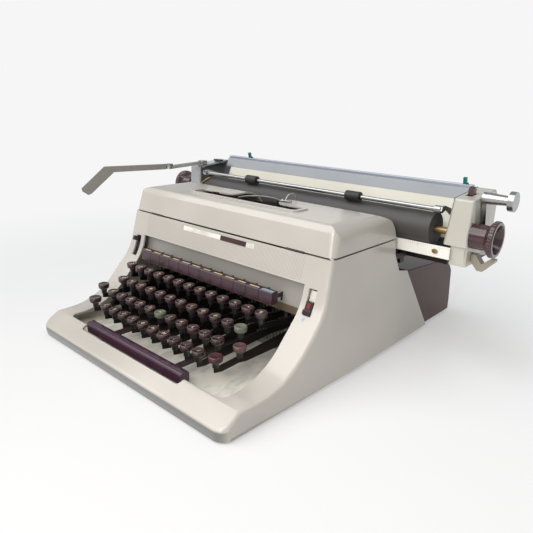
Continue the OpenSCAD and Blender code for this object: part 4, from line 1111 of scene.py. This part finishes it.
# %% Labels of the tabulator keys
TAB_COUNT, TAB_GAP, TAB_TOP, TAB_Y = 12, 0.0005, 0.097, 124.6
low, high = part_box("tab_keys")
step = (high.x - low.x + TAB_GAP) / TAB_COUNT
labels = []
for k in range(TAB_COUNT):
    at = Vector((low.x - TAB_GAP / 2 + (k + 0.5) * step, behind_lip(TAB_Y), TAB_TOP))
    last = k == TAB_COUNT - 1
    margin, wide = (3.0, 5.0) if last else (5.5 if k % 3 else 8.0, 1.9)
    size = (step * 1000 - margin, wide, 0.16)
    tag = slab("tab_label_%d" % k, size, face_at(at, (1, 0, 0), (0, 1, 0)), 0.0, -0.06)
    if last:
        rides(tag, "tabulator", paint_blue)
    else:
        labels.append(tag)
# The golden labels are partly print and partly painted highlight on the keys' tops.
rides(group("tab_labels", labels), "tabulator", legend_ink_and_highlight)
print("tab labels", len(labels) + 1)

# %% [markdown]
# Fittings in the window: a thin rail curves across the notch between the cover's two wings,
# a bright wire loop stands on the right wing beside a small bracket, and a brown clip
# hangs at the left end of the slot.

# %% Fittings in the window
rail = [(-37.5, -3, 164.5), (-31, 4, 166), (-18, 13, 167), (0, 17, 167.2),
        (18, 14, 167), (31, 6, 166), (37.5, 0, 164.5)]
rides(wire("window_rail", rail, 1.2), "cover", grey_metal)
loop = [(38.5, 3, 170.2), (39.0, 5.5, 174.5), (40.2, 9.0, 177.6),
        (42.5, 13.5, 177.8), (43.8, 16.0, 175.0), (44.0, 16.5, 170.2)]
rides(wire("wire_loop", loop, 0.9), "cover", chrome)
turned_face = face_at(mm(47, -6.5, 170.9), (1, 0.35, 0), (-0.35, 1, 0))
bracket = slab("loop_bracket", (15, 5, 2.2), turned_face, 0.5)
screw = disc("loop_screw", 2.6, 3.2, level(43, -7.5, 171))
rides(group("loop_bracket", [bracket, screw]), "cover", chrome)
clip = slab("slot_clip", (9, 3.0, 4.0), level(-66, -15.2, 165.5), 0.4)
rides(clip, "cover", plastic_knob)
print("fittings in the window: 4")

# %% [markdown]
# On the carriage, a brass finger holds the paper at the left; it follows the platen's
# round at a small distance. An oval brass screw holds the line scale.

# %% Fittings on the carriage
PLATEN_Y, PLATEN_Z = 68, 154


def round_platen(x, radius, turned):
    t = radians(turned)
    return x, PLATEN_Y - radius * cos(t), PLATEN_Z + radius * sin(t)


finger = [round_platen(-181, 20.4, 2)]
finger += [round_platen(-174 + 3.4 * k, 20.2, 10 + 12 * k) for k in range(5)]
rides(wire("paper_finger", finger, 1.0), "carriage", brass)
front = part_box("line_scale")[0].y * 1000
screw = disc("scale_screw", 2.7, 1.0, face_at(mm(211.5, front + 0.1, 132.3)), 1.35)
rides(screw, "carriage", brass)
print("fittings on the carriage: 2")

# %% [markdown]
# A white floor stands in for the photographer's light table. The floor glows a little by
# itself, so that shadows on it stay pale, and away from the machine it glows fully, so
# that no horizon shows.

# %% Floor
WHITE = srgb(246, 246, 246) + (1,)
NEAR, FAR, LEAST_GLOW = 0.30, 0.95, 0.36
bpy.ops.object.select_all(action="DESELECT")
bpy.ops.mesh.primitive_plane_add(size=40, location=(0, 0, -0.0004))
floor = bpy.context.active_object
floor.name = "floor"
f = Finish("floor")
at, x, y, z = f.place()
away = (x * x + y * y) ** 0.5
glow = away.ramp(NEAR, FAR) * (1 - LEAST_GLOW) + LEAST_GLOW
pale = f.mix(f.noise(at, 3.0), srgb(238, 238, 238), srgb(243, 243, 243))
f.set(Base_Color=pale, Roughness=0.9)
lamp = f.add("ShaderNodeEmission", {}, {"Color": WHITE, "Strength": 1.0})
table = f.add("ShaderNodeMixShader", {}, {0: glow, 1: Wire(f, f.shader.outputs[0]), 2: lamp})
f.link(table, f.tree.nodes["Material Output"].inputs["Surface"])
floor.data.materials.append(f.mat)
print("floor ready")

# %% [markdown]
# The world is dim where it lights the machine, half as bright as white in reflections, so
# that the dark plastics keep their depth, and white where it is seen straight.

# %% World
world = bpy.data.worlds.new("studio")
scene.world = world
world.use_nodes = True
tree = world.node_tree
tree.nodes.clear()


def background(colour, strength):
    n = tree.nodes.new("ShaderNodeBackground")
    n.inputs["Color"].default_value = colour
    n.inputs["Strength"].default_value = strength
    return n.outputs[0]


def joined(kind, *sources):
    n = tree.nodes.new(kind)
    for socket, source in zip(n.inputs, sources):
        tree.links.new(source, socket)
    return n


ray = tree.nodes.new("ShaderNodeLightPath").outputs
lit = background((0.93, 0.97, 1.0, 1), 0.27)
shown = background((0.97, 0.98, 1.0, 1), 0.5)
seen = background(WHITE, 1.0)
room = joined("ShaderNodeMixShader", ray["Is Glossy Ray"], lit, shown)
straight = joined("ShaderNodeMath", ray["Is Camera Ray"], ray["Is Transmission Ray"])
straight.use_clamp = True
sky = joined("ShaderNodeMixShader", straight.outputs[0], room.outputs[0], seen)
joined("ShaderNodeOutputWorld", sky.outputs[0])
print("world ready")

# %% [markdown]
# One broad light comes from the front, the left and above. A sun with a wide angle has
# no falloff, so the front panel and the floor are lit evenly, while the right side of
# the casing stays in the shade that the photograph shows. Soft boxes add what the sun
# can't: a long strip above and a narrow one at the right give the rounded edges their
# thin highlights, a warm box lights the keys, a weak strip behind draws the carriage's
# edge, and a tall strip in front is mirrored in the glossy caps and knobs.

# %% Lamps
sun = bpy.data.lights.new("broad_sun", "SUN")
sun.energy = 2.0
sun.angle = radians(60)
sun.color = (0.97, 0.98, 1.0)
sun_lamp = bpy.data.objects.new("broad_sun", sun)
scene.collection.objects.link(sun_lamp)
sun_from = Vector((-0.38, -0.52, 0.77))
sun_lamp.matrix_world = sun_from.to_track_quat("Z", "Y").to_matrix().to_4x4()


def soft_box(name, at, look, size, power, tone=(1, 1, 1)):
    light = bpy.data.lights.new(name, "AREA")
    light.shape = "RECTANGLE"
    light.size, light.size_y = size
    light.energy = power
    light.color = tone
    obj = bpy.data.objects.new(name, light)
    scene.collection.objects.link(obj)
    aim = (Vector(look) - Vector(at)).to_track_quat("-Z", "Y").to_matrix().to_4x4()
    obj.matrix_world = Matrix.Translation(at) @ aim


MIDDLE = (0, 0, 0.1)
soft_box("strip_light", (0.5, 0.2, 1.6), MIDDLE, (1.6, 0.25), 3.0, (1.0, 0.97, 0.93))
soft_box("warm_box", (0.20, -0.72, 0.52), (0.02, -0.05, 0.1), (0.5, 0.5), 2.0, (1.0, 0.93, 0.85))
soft_box("edge_strip", (1.05, -0.28, 1.35), (0.1, -0.1, 0.05), (0.6, 0.06), 1.6, (1.0, 0.97, 0.92))
soft_box("back_strip", (-1.25, 1.40, 0.66), MIDDLE, (0.7, 0.22), 0.25, (1.0, 0.96, 0.88))
soft_box("front_strip", (0.55, -1.9, 0.45), MIDDLE, (0.1, 1.0), 5.0)
scene.view_settings.view_transform = "Standard"
print("lamps ready")
